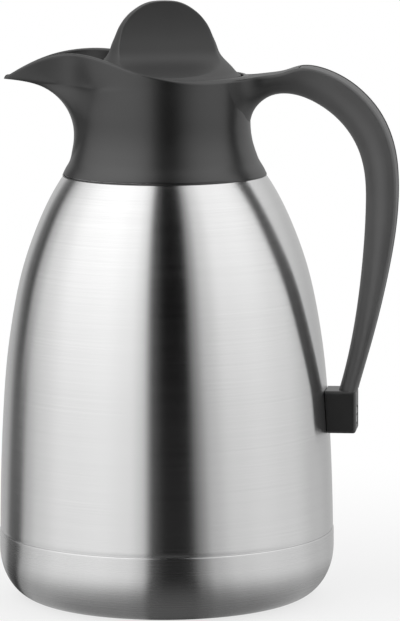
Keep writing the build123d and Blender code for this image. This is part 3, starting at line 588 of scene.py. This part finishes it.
def half_section(half, depth, pocket):
    """Half of a handle section as rows of (across, out): the inner face, a quarter of an
    ellipse under the fingers, a crowned side, a small round, the land beside the strip, and
    the pocket below it. With u from -1 to 1 along the depth, the crown pulls the side in by
    SIDE_CROWN * u^2."""
    half, depth, pocket = (np.atleast_1d(v)[:, None] for v in (half, depth, pocket))
    round_out = np.minimum(ROUND_DEPTH, ROUND_SHARE * depth)
    round_across = half - INNER_FLAT
    middle = (depth + round_out - BACK_ROUND) / 2
    flat = np.linspace(0, 1, 7)[:-1]
    big = np.linspace(-math.pi / 2, 0, 17)
    run = np.linspace(0, 1, 10)[1:-1]
    small = np.linspace(0, math.pi / 2, 8)
    land = np.linspace(0, 1, 4)[1:]
    side_out = round_out + run * (depth - BACK_ROUND - round_out)
    across = np.hstack([
        flat * INNER_FLAT + 0 * half, INNER_FLAT + round_across * np.cos(big), half + 0 * run,
        half - BACK_ROUND + BACK_ROUND * np.cos(small),
        half - BACK_ROUND - land * (SIDE_WALL - BACK_ROUND),
        half - SIDE_WALL + 0 * land, (half - SIDE_WALL) * (1 - land),
    ])
    out = np.hstack([
        0 * (flat + half), round_out * (1 + np.sin(big)), side_out,
        depth - BACK_ROUND + BACK_ROUND * np.sin(small), depth + 0 * land,
        depth - land * pocket, depth - pocket + 0 * land,
    ])
    tall = depth / 2
    lean = np.clip(1 - ((out - middle) / tall) ** 2, 0, 1)
    near_side = np.clip((across - INNER_FLAT) / round_across, 0, 1)
    return across - SIDE_CROWN * (1 - lean) * near_side, out


def sections(place, pocket):
    """Rows of whole sections at places along the handle: points in space, then each point's
    share of the half width and of the depth."""
    gap, back, half = stations(place)
    depth = np.linalg.norm(back - gap, axis=1)
    across, out = mirrored(*half_section(half, depth, pocket))
    points = placed(gap, (back - gap) / depth[:, None], across, out)
    return points, across / half[:, None], out / depth[:, None]


# %% [markdown]
# ## The root of the handle
# The bar has to grow out of the collar like one moulding. Pushed straight in, it would leave a
# crease. Instead each line of its section leaves the bar along the bar, bends, and meets the
# collar along the collar's own surface, which leaves a soft hollow. The line under the fingers
# is then moved back onto the edge of the finger gap.

# %% Root of the handle
ROOT_ANGLE = math.radians(38)  # the root reaches this far round the collar on each side
ROOT_FOOT = 193.8
NO_POCKET = 0.04
ROOT_SUNK = 0.03  # how far the root's edge lies below the collar's skin
PULL = 1.4  # how long the lines keep their directions
PLUG_MIDDLE, PLUG_SUNK = 206.0, 0.9  # the bar's end closes inside the collar's wall


def collar_radius(height):
    """Radius of the collar at the back, from its levels."""
    return height_over([(level[0], level[1]) for level in HEAD_LEVELS], height)


def collar_point(angle, height, rolled, sunk):
    """Point on the back of the collar, sunk a little below its skin. rolled runs from 0 on the
    wall to 1 on the crest of the rim, and turns the point by a quarter round over the rim."""
    turn = rolled * math.pi / 2
    top_edge = rim_height(RIM_RADIUS * np.cos(angle)) - RIM_ROUND
    at = np.where(rolled > 0, top_edge, np.minimum(height, top_edge))
    wall = np.where(at > TIP_HEIGHT, RIM_RADIUS, collar_radius(np.minimum(at, TIP_HEIGHT)))
    radius = wall - WALL / 2 + (WALL / 2 - sunk) * np.cos(turn)
    at = at + (RIM_ROUND - sunk) * np.sin(turn)
    return around(radius, angle, at)


full, across, out = sections(np.array([LEAVES_ROOT, LEAVES_ROOT + 0.01]), NO_POCKET)
across, out = across[0], out[0]
gap, back, _ = stations(np.array([LEAVES_ROOT]))
depth = float(np.linalg.norm(back - gap))
edge = (depth - BACK_ROUND) / depth
rolled = np.clip((out - edge) / (1 - edge), 0, 1)
climb = np.clip(out / edge, 0, 1)
root_angle = ROOT_ANGLE * across
root_height = ROOT_FOOT + climb * (TIP_HEIGHT + 0.2 - ROOT_FOOT)
foot = collar_point(root_angle, root_height, rolled, ROOT_SUNK)

sideways, inwards = around(1.0, root_angle + math.pi / 2, 0.0), -around(1.0, root_angle, 0.0)
weight = (across * np.abs(across))[:, None]
other = (1 - across**2)[:, None]
down = np.array([0.0, 0.0, -1.0]) * ((1 - climb) ** 1.5)[:, None]
spread = unit(sideways * weight + np.where(rolled[:, None] > 0.5, inwards * other, down))
leave = unit(full[0] - full[1])
length = np.linalg.norm(full[0] - foot, axis=1)[:, None] * PULL
t = np.linspace(0, 1, 26)[:, None, None]
root_rows = hermite(foot, full[0], -spread * length, -leave * length, t)

true_line = through(GAP_EDGE, np.linspace(0.1, LEAVES_ROOT, 400), GAP_ENDS)
middle_line = root_rows[:, 0][:, [0, 2]]
true_run, run = run_along(true_line), run_along(middle_line)
wanted = np.stack([
    np.interp(run / run[-1], true_run / true_run[-1], true_line[:, i]) for i in (0, 1)
], axis=-1)
change = wanted - middle_line
print("the root is moved by up to", round(float(np.abs(change).max()), 2), "mm to keep the gap")
keep = ((1 - climb) ** 2)[None, :]
root_rows[..., 0] += change[:, :1] * keep
root_rows[..., 2] += change[:, 1:] * keep

inside = np.linspace(0.08, 0.96, 5)[:, None]
plug_rows = collar_point(
    root_angle * inside, PLUG_MIDDLE + (root_height - PLUG_MIDDLE) * inside, rolled * inside,
    PLUG_SUNK,
)

# %% [markdown]
# The root, the bar without a pocket and the bar with one follow each other as rows of one skin.
# Two rows that almost meet make the step down into the pocket.

# %% Handle
STRIP_AT = 6.86  # place on the gap edge opposite the start of the cover strip
STEP = 0.004  # places between the two rows that make the step
INTO_BLOCK = 0.4

near_root = np.linspace(LEAVES_ROOT, STRIP_AT, 22)[1:]
after = np.linspace(STRIP_AT + STEP, len(GAP_EDGE) - 1, 120)
bar_rows, _, _ = sections(
    np.concatenate([near_root, after]),
    np.concatenate([np.full(len(near_root), NO_POCKET), np.full(len(after), POCKET)]),
)
end_row = bar_rows[-1:] - np.array([0.0, 0.0, INTO_BLOCK])
handle = skin(
    "handle_bar", np.concatenate([plug_rows, root_rows, bar_rows, end_row]),
    cap_start=True, cap_end=True,
)
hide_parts("pouring_head")
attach(handle, "jug")

# %% [markdown]
# ## The cover strip
# The hollow back of the handle is closed by a strip that snaps in. It sits flush with the back
# and leaves a narrow groove on each side. It could be cut from the bar, but a section with a
# low crown and rounded edges, carried along the same back edge, always fits its pocket.

# %% Cover strip
COVER_GAP = 0.35  # groove on each side of the strip
COVER_THICK, COVER_CROWN, COVER_ROUND = 2.0, 0.25, 0.4
END_GAP = 0.05  # places between the end of the strip and the end of its pocket

place = np.concatenate([
    [STRIP_AT + END_GAP], np.linspace(STRIP_AT + 2 * END_GAP, len(GAP_EDGE) - 1.02, 130),
])
gap, back, half = stations(place)
normal = unit(back - gap)
half = half[:, None] - SIDE_WALL - COVER_GAP
flat = np.linspace(0, 1, 9)[:-1]
small = np.linspace(math.pi / 2, 0, 7)
under = 1 - np.linspace(0, 1, 5)[1:]
across = np.hstack([
    flat * (half - COVER_ROUND), half - COVER_ROUND + COVER_ROUND * np.cos(small), half,
    half * under,
])
out = np.hstack([
    0 * flat + 0 * half, COVER_ROUND * (np.sin(small) - 1) + 0 * half, 0 * half - COVER_THICK,
    0 * half * under - COVER_THICK,
])
out = out - np.where(out > -COVER_THICK, COVER_CROWN * (across / half) ** 2, 0)
across, out = mirrored(across, out)
cover = skin("cover_strip", placed(back, normal, across, out), cap_start=True, cap_end=True)
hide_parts("handle_cover")
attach(cover, "jug")

# %% [markdown]
# ## The stopper grip
# The grip is a bell with a scoop pressed into two sides, which leaves an upright fin to turn by.
# Each scoop runs down the fin and out over the slope of the bell. It could be cut with boolean
# solids, but their edges shade badly. Seen from above the grip is the smaller of two shapes at
# every height: the round bell, and a slot between the two scoops. Lines of the grid are
# gathered at the edge between them, so the edge stays crisp, and a small blend rounds it over.

# %% Stopper grip
GRIP_FOOT = 219.05
GRIP_TURN = math.radians(16.5)
BELL = (  # radius, height above the skirt
    (32.0, 0.0), (30.4, 1.2), (28.95, 2.8), (25.7, 6.2), (23.1, 9.5), (21.8, 13.0), (20.4, 16.3),
    (19.0, 19.6), (17.0, 22.9), (14.0, 26.2), (11.8, 27.9), (7.0, 30.4), (0.0, 31.2),
)
SCOOP = (  # height above the skirt, half of what is left between scoops
    (-3.0, 60.0), (0.0, 38.0), (0.6, 34.0), (1.4, 30.0), (2.5, 25.6), (3.8, 21.0), (6.0, 15.2),
    (7.8, 12.3), (12.3, 8.6), (16.5, 6.3), (20.5, 4.8), (24.5, 3.9), (29.0, 3.4), (33.2, 3.2),
)
SKIRT = np.array([  # radius, height above the table
    (29.0, 213.65), (30.4, 213.65), (30.8, 214.0), (30.8, 216.3), (30.95, 216.6),
    (31.7, 216.65), (32.0, 216.95), (32.0, 218.7),
])
BELL_PARTS = ((0.0, 0.16, 46), (0.16, 0.9, 70), (0.9, 0.99, 12))  # from, to, rows
BELL_POINTS = 400
EDGE_LIMIT = math.radians(84)  # largest angle between the fin and the edge of a scoop
EDGE_BLEND = 0.3
LEAST_REACH = 0.15  # a fan closes the top within this radius

bell = even(BELL, BELL_POINTS, ((-1.0, 0.9), (-1.0, 0.0)))
dense = (BELL_POINTS - 1) * np.unique(np.concatenate([np.linspace(*p) for p in BELL_PARTS]))
bell = np.stack([np.interp(dense, np.arange(BELL_POINTS), line) for line in bell.T], axis=-1)
left = height_over(SCOOP, bell[:, 1])
edge_angle = np.arcsin(np.clip(left / bell[:, 0], 0.0, math.sin(EDGE_LIMIT)))[:, None]
towards = np.sin(np.linspace(0, math.pi / 2, 22))
away = 1 - np.cos(np.linspace(0, math.pi / 2, 26)[1:])
quarter = np.hstack([edge_angle * towards, edge_angle + (math.pi / 2 - edge_angle) * away])
angle = np.hstack([quarter, math.pi - quarter[:, -2::-1]])
angle = np.hstack([angle, 2 * math.pi - angle[:, -2:0:-1]])
slot_wall = left[:, None] / np.maximum(np.abs(np.sin(angle)), 1e-6)
# The blended smaller value is bell - blend * ln(1 + exp((bell - slot) / blend)).
over = np.clip((bell[:, :1] - slot_wall) / EDGE_BLEND, -60, 60)
reach = np.maximum(bell[:, :1] - EDGE_BLEND * np.log1p(np.exp(over)), LEAST_REACH)
upper = around(reach, angle + GRIP_TURN, GRIP_FOOT + bell[:, 1:])
lower = around(SKIRT[:, :1], angle[0] + GRIP_TURN, SKIRT[:, 1:])
grip = skin("grip_knob", np.concatenate([lower, upper]), cap_start=True, cap_end=True)
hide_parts("stopper_grip")
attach(grip, "stopper")

# %% [markdown]
# ## Finishes
# A finish is a few nodes: a colour with a little variation, a roughness, and a bump at the real
# scale of the surface. Patterns read Object coordinates, which are the jug's own metres, so the
# grain stays where it is when the jug is turned or seen from another side.

# %% Node helpers
PATTERN_RANGE = (0.3, 0.7)  # where most of a cloudy pattern lies
ROUGH_SPREAD = 0.03  # how far a roughness wanders to each side


def node(tree, kind, inputs=None, **settings):
    """Outputs of a new shader node. Each input is set to a number or linked to an output."""
    new = tree.nodes.new("ShaderNode" + kind)
    for name, value in settings.items():
        setattr(new, name, value)
    for name, value in (inputs or {}).items():
        if isinstance(value, bpy.types.NodeSocket):
            tree.links.new(value, new.inputs[name])
        else:
            new.inputs[name].default_value = value
    return new.outputs


def finish(name, tone, rough, metal=0.0, **settings):
    """A new grey finish, as the material, its tree and its shader."""
    material = bpy.data.materials.new(name)
    material.use_nodes = True
    tree = material.node_tree
    shader = tree.nodes["Principled BSDF"]
    shader.inputs["Base Color"].default_value = (tone, tone, tone, 1.0)
    shader.inputs["Roughness"].default_value = rough
    shader.inputs["Metallic"].default_value = metal
    for socket, value in settings.items():
        shader.inputs[socket.replace("_", " ")].default_value = value
    return material, tree, shader


def grain(tree, scale, detail=2.0, stretch=(1.0, 1.0, 1.0)):
    """Cloudy pattern on the object's own coordinates, with scale in spots per metre."""
    place = node(tree, "TexCoord")["Object"]
    mapped = node(tree, "Mapping", {"Vector": place, "Scale": stretch})["Vector"]
    return node(tree, "TexNoise", {"Vector": mapped, "Scale": scale, "Detail": detail})["Fac"]


def ranged(tree, value, source, target, kind="SMOOTHSTEP"):
    """A value mapped from one range onto another and held at its ends. With r from 0 to 1 along
    the first range, the smooth step follows r^2 (3 - 2r), and LINEAR follows r."""
    sockets = ("Value", "From Min", "From Max", "To Min", "To Max")
    inputs = dict(zip(sockets, (value, *source, *target)))
    return node(tree, "MapRange", inputs, interpolation_type=kind)["Result"]


def uneven(tree, pattern, rough, shader):
    """Roughness that wanders by ROUGH_SPREAD to both sides with a pattern."""
    target = (rough - ROUGH_SPREAD, rough + ROUGH_SPREAD)
    roughness = ranged(tree, pattern, PATTERN_RANGE, target, "LINEAR")
    tree.links.new(roughness, shader.inputs["Roughness"])


def tinted(tree, pattern, dark, light, shader):
    """Grey that wanders between two close tones with a pattern."""
    ramp = tree.nodes.new("ShaderNodeValToRGB")
    marks = ramp.color_ramp.elements
    for mark, position, tone in zip(marks, PATTERN_RANGE, (dark, light)):
        mark.position, mark.color = position, (tone, tone, tone, 1.0)
    tree.links.new(pattern, ramp.inputs["Fac"])
    tree.links.new(ramp.outputs["Color"], shader.inputs["Base Color"])


def bumped(tree, pattern, depth, shader, strength):
    """Relief of a given depth in metres from a pattern."""
    inputs = {"Strength": strength, "Distance": depth, "Height": pattern}
    tree.links.new(node(tree, "Bump", inputs)["Normal"], shader.inputs["Normal"])


# %% [markdown]
# ### Brushed steel
# The body is brushed while it spins, so hair-fine lines circle it. They could be carved, but at
# a tenth of a millimetre they are too fine for a mesh. The shader stretches each reflection
# across the lines instead, up and down the jug, and a pattern varies tone, roughness and relief.

# %% Steel finishes
HAIR_RELIEF, HAIR_STRENGTH = 0.0000015, 0.2
HAIRS_ROUND, PATCHES_ROUND = 14.0, 9.0  # spots per metre along the lines


def brushed(name, tone, rough, across_grain, lines):
    """Steel brushed round the jug, with a number of lines per metre of height. across_grain is
    how strongly a reflection is stretched across the lines."""
    material, tree, shader = finish(
        name, tone, rough, 1.0, Anisotropic=across_grain, Anisotropic_Rotation=0.25,
    )
    hairs = grain(tree, 1.0, 3.0, (HAIRS_ROUND, HAIRS_ROUND, lines))
    patches = grain(tree, 1.0, 2.0, (PATCHES_ROUND, PATCHES_ROUND, lines / 3))
    tinted(tree, hairs, tone * 0.965, tone * 1.03, shader)
    uneven(tree, patches, rough, shader)
    bumped(tree, hairs, HAIR_RELIEF, shader, HAIR_STRENGTH)
    tangent = node(tree, "Tangent", direction_type="RADIAL", axis="Z")["Tangent"]
    tree.links.new(tangent, shader.inputs["Tangent"])
    return material


shell_finish = brushed("brushed_shell_steel", 0.74, 0.235, 0.95, 9000.0)
cup_finish = brushed("brushed_cup_steel", 0.72, 0.25, 0.93, 16000.0)
shell.data.materials.append(shell_finish)
cup.data.materials.append(cup_finish)
print("steel:", shell_finish.name, "and", cup_finish.name)

# %% [markdown]
# ### Moulded plastic
# The tools for the plastic are spark-eroded, which leaves an even fine grain. The head is the
# darkest and glossiest. The handle has a deeper, matt grain under the hand, and its tone is
# raised as painted light, for the light that its sides catch. Head and handle are one moulding,
# so this painted lighter tone fades in away from the collar.

# %% Plastic finishes
# The handle's tone is raised above the head's as painted light; FADE is where it fades in.
HEAD_TONE, HANDLE_PAINTED_LIGHT_TONE, GRIP_TONE = 0.0045, 0.066, 0.018
FADE = (0.036, 0.072)  # places along the jug, in metres
CLOUDS = 45.0  # wide spots per metre, for tone and gloss


def moulded(name, tone, rough, relief, spots=2600.0, gloss=0.5):
    """Moulded plastic: an even fine relief, with tone and gloss that wander a little."""
    material, tree, shader = finish(name, tone, rough, 0.0, Specular_IOR_Level=gloss)
    fine, wide = grain(tree, spots, 2.0), grain(tree, CLOUDS, 3.0)
    tinted(tree, wide, tone * 0.88, tone * 1.12, shader)
    uneven(tree, wide, rough, shader)
    bumped(tree, fine, relief, shader, 0.5)
    return material


# Used to fade the handle's painted lighter tone back to the head's tone near the collar.
def fade_in_painted_light(material, source, share):
    """Scale the tone of a finish by its place along the jug: by a share where source starts, by
    1 where it ends, and by a smooth step between."""
    tree = material.node_tree
    place = node(tree, "SeparateXYZ", {0: node(tree, "TexCoord")["Object"]})["X"]
    tone = tree.nodes["Principled BSDF"].inputs["Base Color"]
    inputs = {0: tone.links[0].from_socket, "Scale": ranged(tree, place, source, (share, 1.0))}
    tree.links.new(node(tree, "VectorMath", inputs, operation="SCALE")[0], tone)


head_finish = moulded("moulded_dark_plastic", HEAD_TONE, 0.33, 0.00002, gloss=1.0)
handle_painted_light_finish = moulded("grained_handle_plastic_painted_light", HANDLE_PAINTED_LIGHT_TONE, 0.45, 0.00003, gloss=1.0)
# The handle's painted lighter tone fades to the head's tone at the collar.
fade_in_painted_light(handle_painted_light_finish, FADE, HEAD_TONE / HANDLE_PAINTED_LIGHT_TONE)
grip_finish = moulded("matt_grip_plastic", GRIP_TONE, 0.50, 0.00003, gloss=1.0)
head.data.materials.append(head_finish)
for piece in (handle, cover):
    piece.data.materials.append(handle_painted_light_finish)
grip.data.materials.append(grip_finish)
print("plastic:", head_finish.name + ",", handle_painted_light_finish.name, "and", grip_finish.name)

# %% [markdown]
# ### The pieces inside
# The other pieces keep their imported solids. Most show only in a cut or with the stopper out,
# but each has its own finish. Their slot names say which: drawn and turned steel, soft solder,
# plain grey plastic, rubber and foam.

# %% Finishes of the carried-over solids
finishes = {
    "shell_steel": shell_finish,
    "inner_steel": brushed("drawn_inner_steel", 0.7, 0.28, 0.3, 2600.0),
    "screw_steel": brushed("turned_screw_steel", 0.62, 0.22, 0.2, 9000.0),
    "getter_alloy": moulded("getter_alloy_skin", 0.30, 0.5, 0.00003),
    "bead_alloy": moulded("solder_bead", 0.55, 0.35, 0.00003),
    "dark_plastic": head_finish,
    "inner_plastic": moulded("inner_grey_plastic", 0.06, 0.45, 0.00003),
    "silicone": moulded("seal_silicone", 0.45, 0.5, 0.00002),
    "foam": moulded("stopper_foam", 0.6, 0.8, 0.0002, 900.0),
}
for row in frame["record"]["subparts"]:
    solid = frame["nodes"][row["node"]]
    for i in range(len(solid.material_slots)):
        solid.material_slots[i].material = finishes[row["material_slot"]]
print("finishes:", sorted(finishes))

# %% [markdown]
# ## Studio
# Brushed steel shows the room, so the room is part of the finish. A small studio for such a jug
# is a white sweep, brightest on the left, with a black card behind the camera that runs up over
# the jug, and a narrow card far round on the left. The world is that room: its level depends
# only on the direction that a ray takes, on its compass bearing and a little on its height.

# %% Studio world
ROOM = (  # bearing from behind the camera, in degrees, and level there
    (-180, 0.68), (-155, 0.62), (-141, 0.16), (-130, 0.07), (-121, 0.64), (-104, 0.96),
    (-75, 1.22), (-45, 1.24), (-25, 1.12), (-16, 0.88), (-9, 0.06), (0, 0.0), (15, 0.0),
    (20, 0.30), (29, 0.72), (44, 1.0), (70, 1.06), (95, 0.98), (125, 0.76), (150, 0.64),
    (180, 0.68),
)
CARD_LEAN = 0.20  # how much wider the black card gets overhead
RISE = (-0.35, 0.75)  # heights of a ray's direction between which the room brightens
RISE_LEVELS = (1.6, 2.36)  # strength there, for halved levels

world = bpy.data.worlds.new("studio")
bpy.context.scene.world = world
world.use_nodes = True
tree = world.node_tree
tree.nodes.clear()


def worked(kind, *values):
    """One arithmetic node; each input is a number or another node's output."""
    return node(tree, "Math", dict(enumerate(values)), operation=kind)[0]


def turned_to_front(vector):
    """Parts of a direction: sideways, towards the camera's side of the room, and height."""
    east, north, height = node(tree, "SeparateXYZ", {0: vector})
    behind = (math.sin(AZIMUTH), -math.cos(AZIMUTH))
    along, beside_it = (
        worked("ADD", worked("MULTIPLY", east, x), worked("MULTIPLY", north, y))
        for x, y in (behind, (-behind[1], behind[0]))
    )
    return beside_it, along, height


def room_level(table, beside_it, along, bend=None):
    """Half the level of the room at a bearing, read from a table by a ramp round the compass.
    Levels are halved so that those above 1 fit the ramp. Where bend is given, the bearing is
    first turned by bend * sin(bearing / 2)."""
    ramp = tree.nodes.new("ShaderNodeValToRGB")
    ramp.color_ramp.interpolation = "EASE"
    marks = ramp.color_ramp.elements
    for _ in range(len(table) - 2):
        marks.new(0.5)
    for mark, (degrees, _) in zip(marks, table):
        mark.position = (degrees + 180) / 360
    for mark, (_, tone) in zip(marks, table):
        mark.color = (tone / 2, tone / 2, tone / 2, 1.0)
    bearing = worked("ARCTAN2", beside_it, along)
    if bend is not None:
        bearing = worked("ADD", bearing, worked("MULTIPLY", bend, worked(
            "SINE", worked("DIVIDE", bearing, 2.0)
        )))
    bearing = worked("ADD", worked("DIVIDE", bearing, 2 * math.pi), 0.5)
    tree.links.new(bearing, ramp.inputs[0])
    return ramp.outputs["Color"]


beside_it, along, height = turned_to_front(node(tree, "TexCoord")["Generated"])
along = worked("ADD", along, worked("MULTIPLY", worked("MAXIMUM", height, 0.0), CARD_LEAN))
room = room_level(ROOM, beside_it, along)

rise = ranged(tree, height, RISE, RISE_LEVELS)
studio = node(tree, "Background", {"Color": room, "Strength": rise})[0]
sweep_white = node(tree, "Background", {"Color": (1.0, 1.0, 1.0, 1.0)})[0]
seen = node(tree, "LightPath")["Is Camera Ray"]
mix = node(tree, "MixShader", {0: seen, 1: studio, 2: sweep_white})[0]
node(tree, "OutputWorld", {"Surface": mix})
print("studio:", len(ROOM), "marks round the compass")

# %% [markdown]
# ## Floor
# The jug stands on a white floor. Far from the jug the floor is simply white to the camera.
# Near the jug it is a pale matt sheet, so that it takes the jug's soft shadow. To the steel and
# the gloss of the plastic the floor glows instead, with a painted reflection of the walls' bands
# and a painted shade near the jug. At a low angle the painted bands are strong and run on across
# it to the jug. Looked at from above they are weak, and a painted grey glow of the floor's own
# shows. Far off, the dark gap on the left shows only at a low angle, or it would leave a dark
# patch under the beak. A ray that leaves the side of the jug starts a belly's radius from the
# axis, so the bearing is turned a little near the jug, and the painted bands run on straight
# down the steel.

# %% Floor
FLOOR_RADIUS, FLOOR_DROP = 3000.0, 0.05
FLOOR_TONE = 0.88
MATT_TO_WHITE = (0.10, 0.34)  # metres from the axis between which the floor turns white
NEAR_WHITE = 0.72  # share of plain white in the matt part
# Painted reflection: the walls' bands that the floor glows with for reflection rays.
PAINTED_FLOOR_BANDS = (  # bearing and level, as for the room
    (-180, 0.68), (-148, 0.62), (-134, 0.16), (-122, 0.07), (-112, 0.64), (-97, 0.94),
    (-75, 1.14), (-45, 1.20), (-25, 1.12), (-16, 0.88), (-9, 0.06), (0, 0.0), (17, 0.0),
    (24, 0.26), (33, 0.66), (50, 0.92), (70, 1.02), (95, 0.98), (125, 0.76), (150, 0.64),
    (180, 0.68),
)
# How much painted reflection of the bands, and how much painted grey glow, the floor shows by the
# angle a ray meets it.
TILT = (0.12, 0.62)  # facing values, steep and low, between which the floor changes
PAINTED_BAND_SHARE = (0.15, 0.78)  # share of the bands that the floor mirrors at those values
PAINTED_OWN_GREY = (0.095, 0.009)  # half of its own level at those values
BELLY = 0.0702  # radius of the jug, in metres
DARK_GAP = slice(2, 5)  # the marks of the dark gap on the left
GAP_NEAR = (0.20, 0.30)  # beyond these distances the gap shows only
GAP_LOW = (0.60, 0.78)  # at facing values above these
# Painted shade: the floor's painted reflection is dimmed near the jug; these set where and how
# much.
SHADE = (0.074, 0.115)  # the jug's shade ends between these distances
SHADED, LIT = 1.15, 2.0  # strength in the shade and outside it, for halved levels

angle = np.linspace(0, 2 * math.pi, 96, endpoint=False)
rings = np.geomspace(8.0, FLOOR_RADIUS, 24)[:, None]
floor = skin("floor", around(rings, angle, -FLOOR_DROP), cap_start=True)
material, tree, shader = finish("pale_floor_painted_reflection", FLOOR_TONE, 0.8)
own_place = node(tree, "TexCoord")["Object"]
distance = node(tree, "VectorMath", {0: own_place}, operation="LENGTH")["Value"]
facing = node(tree, "LayerWeight")["Facing"]
path = node(tree, "LightPath")
seen = worked("MAXIMUM", path["Is Camera Ray"], path["Is Transmission Ray"])
share = worked("MULTIPLY", seen, ranged(tree, distance, MATT_TO_WHITE, (NEAR_WHITE, 1.0)))
white = node(tree, "Emission")[0]
plain = node(tree, "MixShader", {0: share, 1: shader.outputs[0], 2: white})[0]

beside_it, along, _ = turned_to_front(own_place)
turn = worked("DIVIDE", BELLY, distance)
closed = PAINTED_FLOOR_BANDS[:DARK_GAP.start] + PAINTED_FLOOR_BANDS[DARK_GAP.stop:]
near = ranged(tree, distance, GAP_NEAR, (1.0, 0.0))
low = ranged(tree, facing, GAP_LOW, (0.0, 1.0))
painted_bands = node(tree, "Mix", {
    "Factor": worked("MAXIMUM", near, low), "A": room_level(closed, beside_it, along, turn),
    "B": room_level(PAINTED_FLOOR_BANDS, beside_it, along, turn),
}, data_type="FLOAT")["Result"]
# Painted reflection: the floor glows with the bands and a grey of its own for reflection rays.
shown_painted_bands = worked("MULTIPLY", painted_bands, ranged(tree, facing, TILT, PAINTED_BAND_SHARE))
painted_reflection_and_shade = node(tree, "Emission", {
    "Color": worked("ADD", shown_painted_bands, ranged(tree, facing, TILT, PAINTED_OWN_GREY)),
    "Strength": ranged(tree, distance, SHADE, (SHADED, LIT)),
})[0]
join = node(tree, "MixShader", {0: path["Is Glossy Ray"], 1: plain, 2: painted_reflection_and_shade})[0]
tree.links.new(join, tree.nodes["Material Output"].inputs["Surface"])
floor.data.materials.append(material)
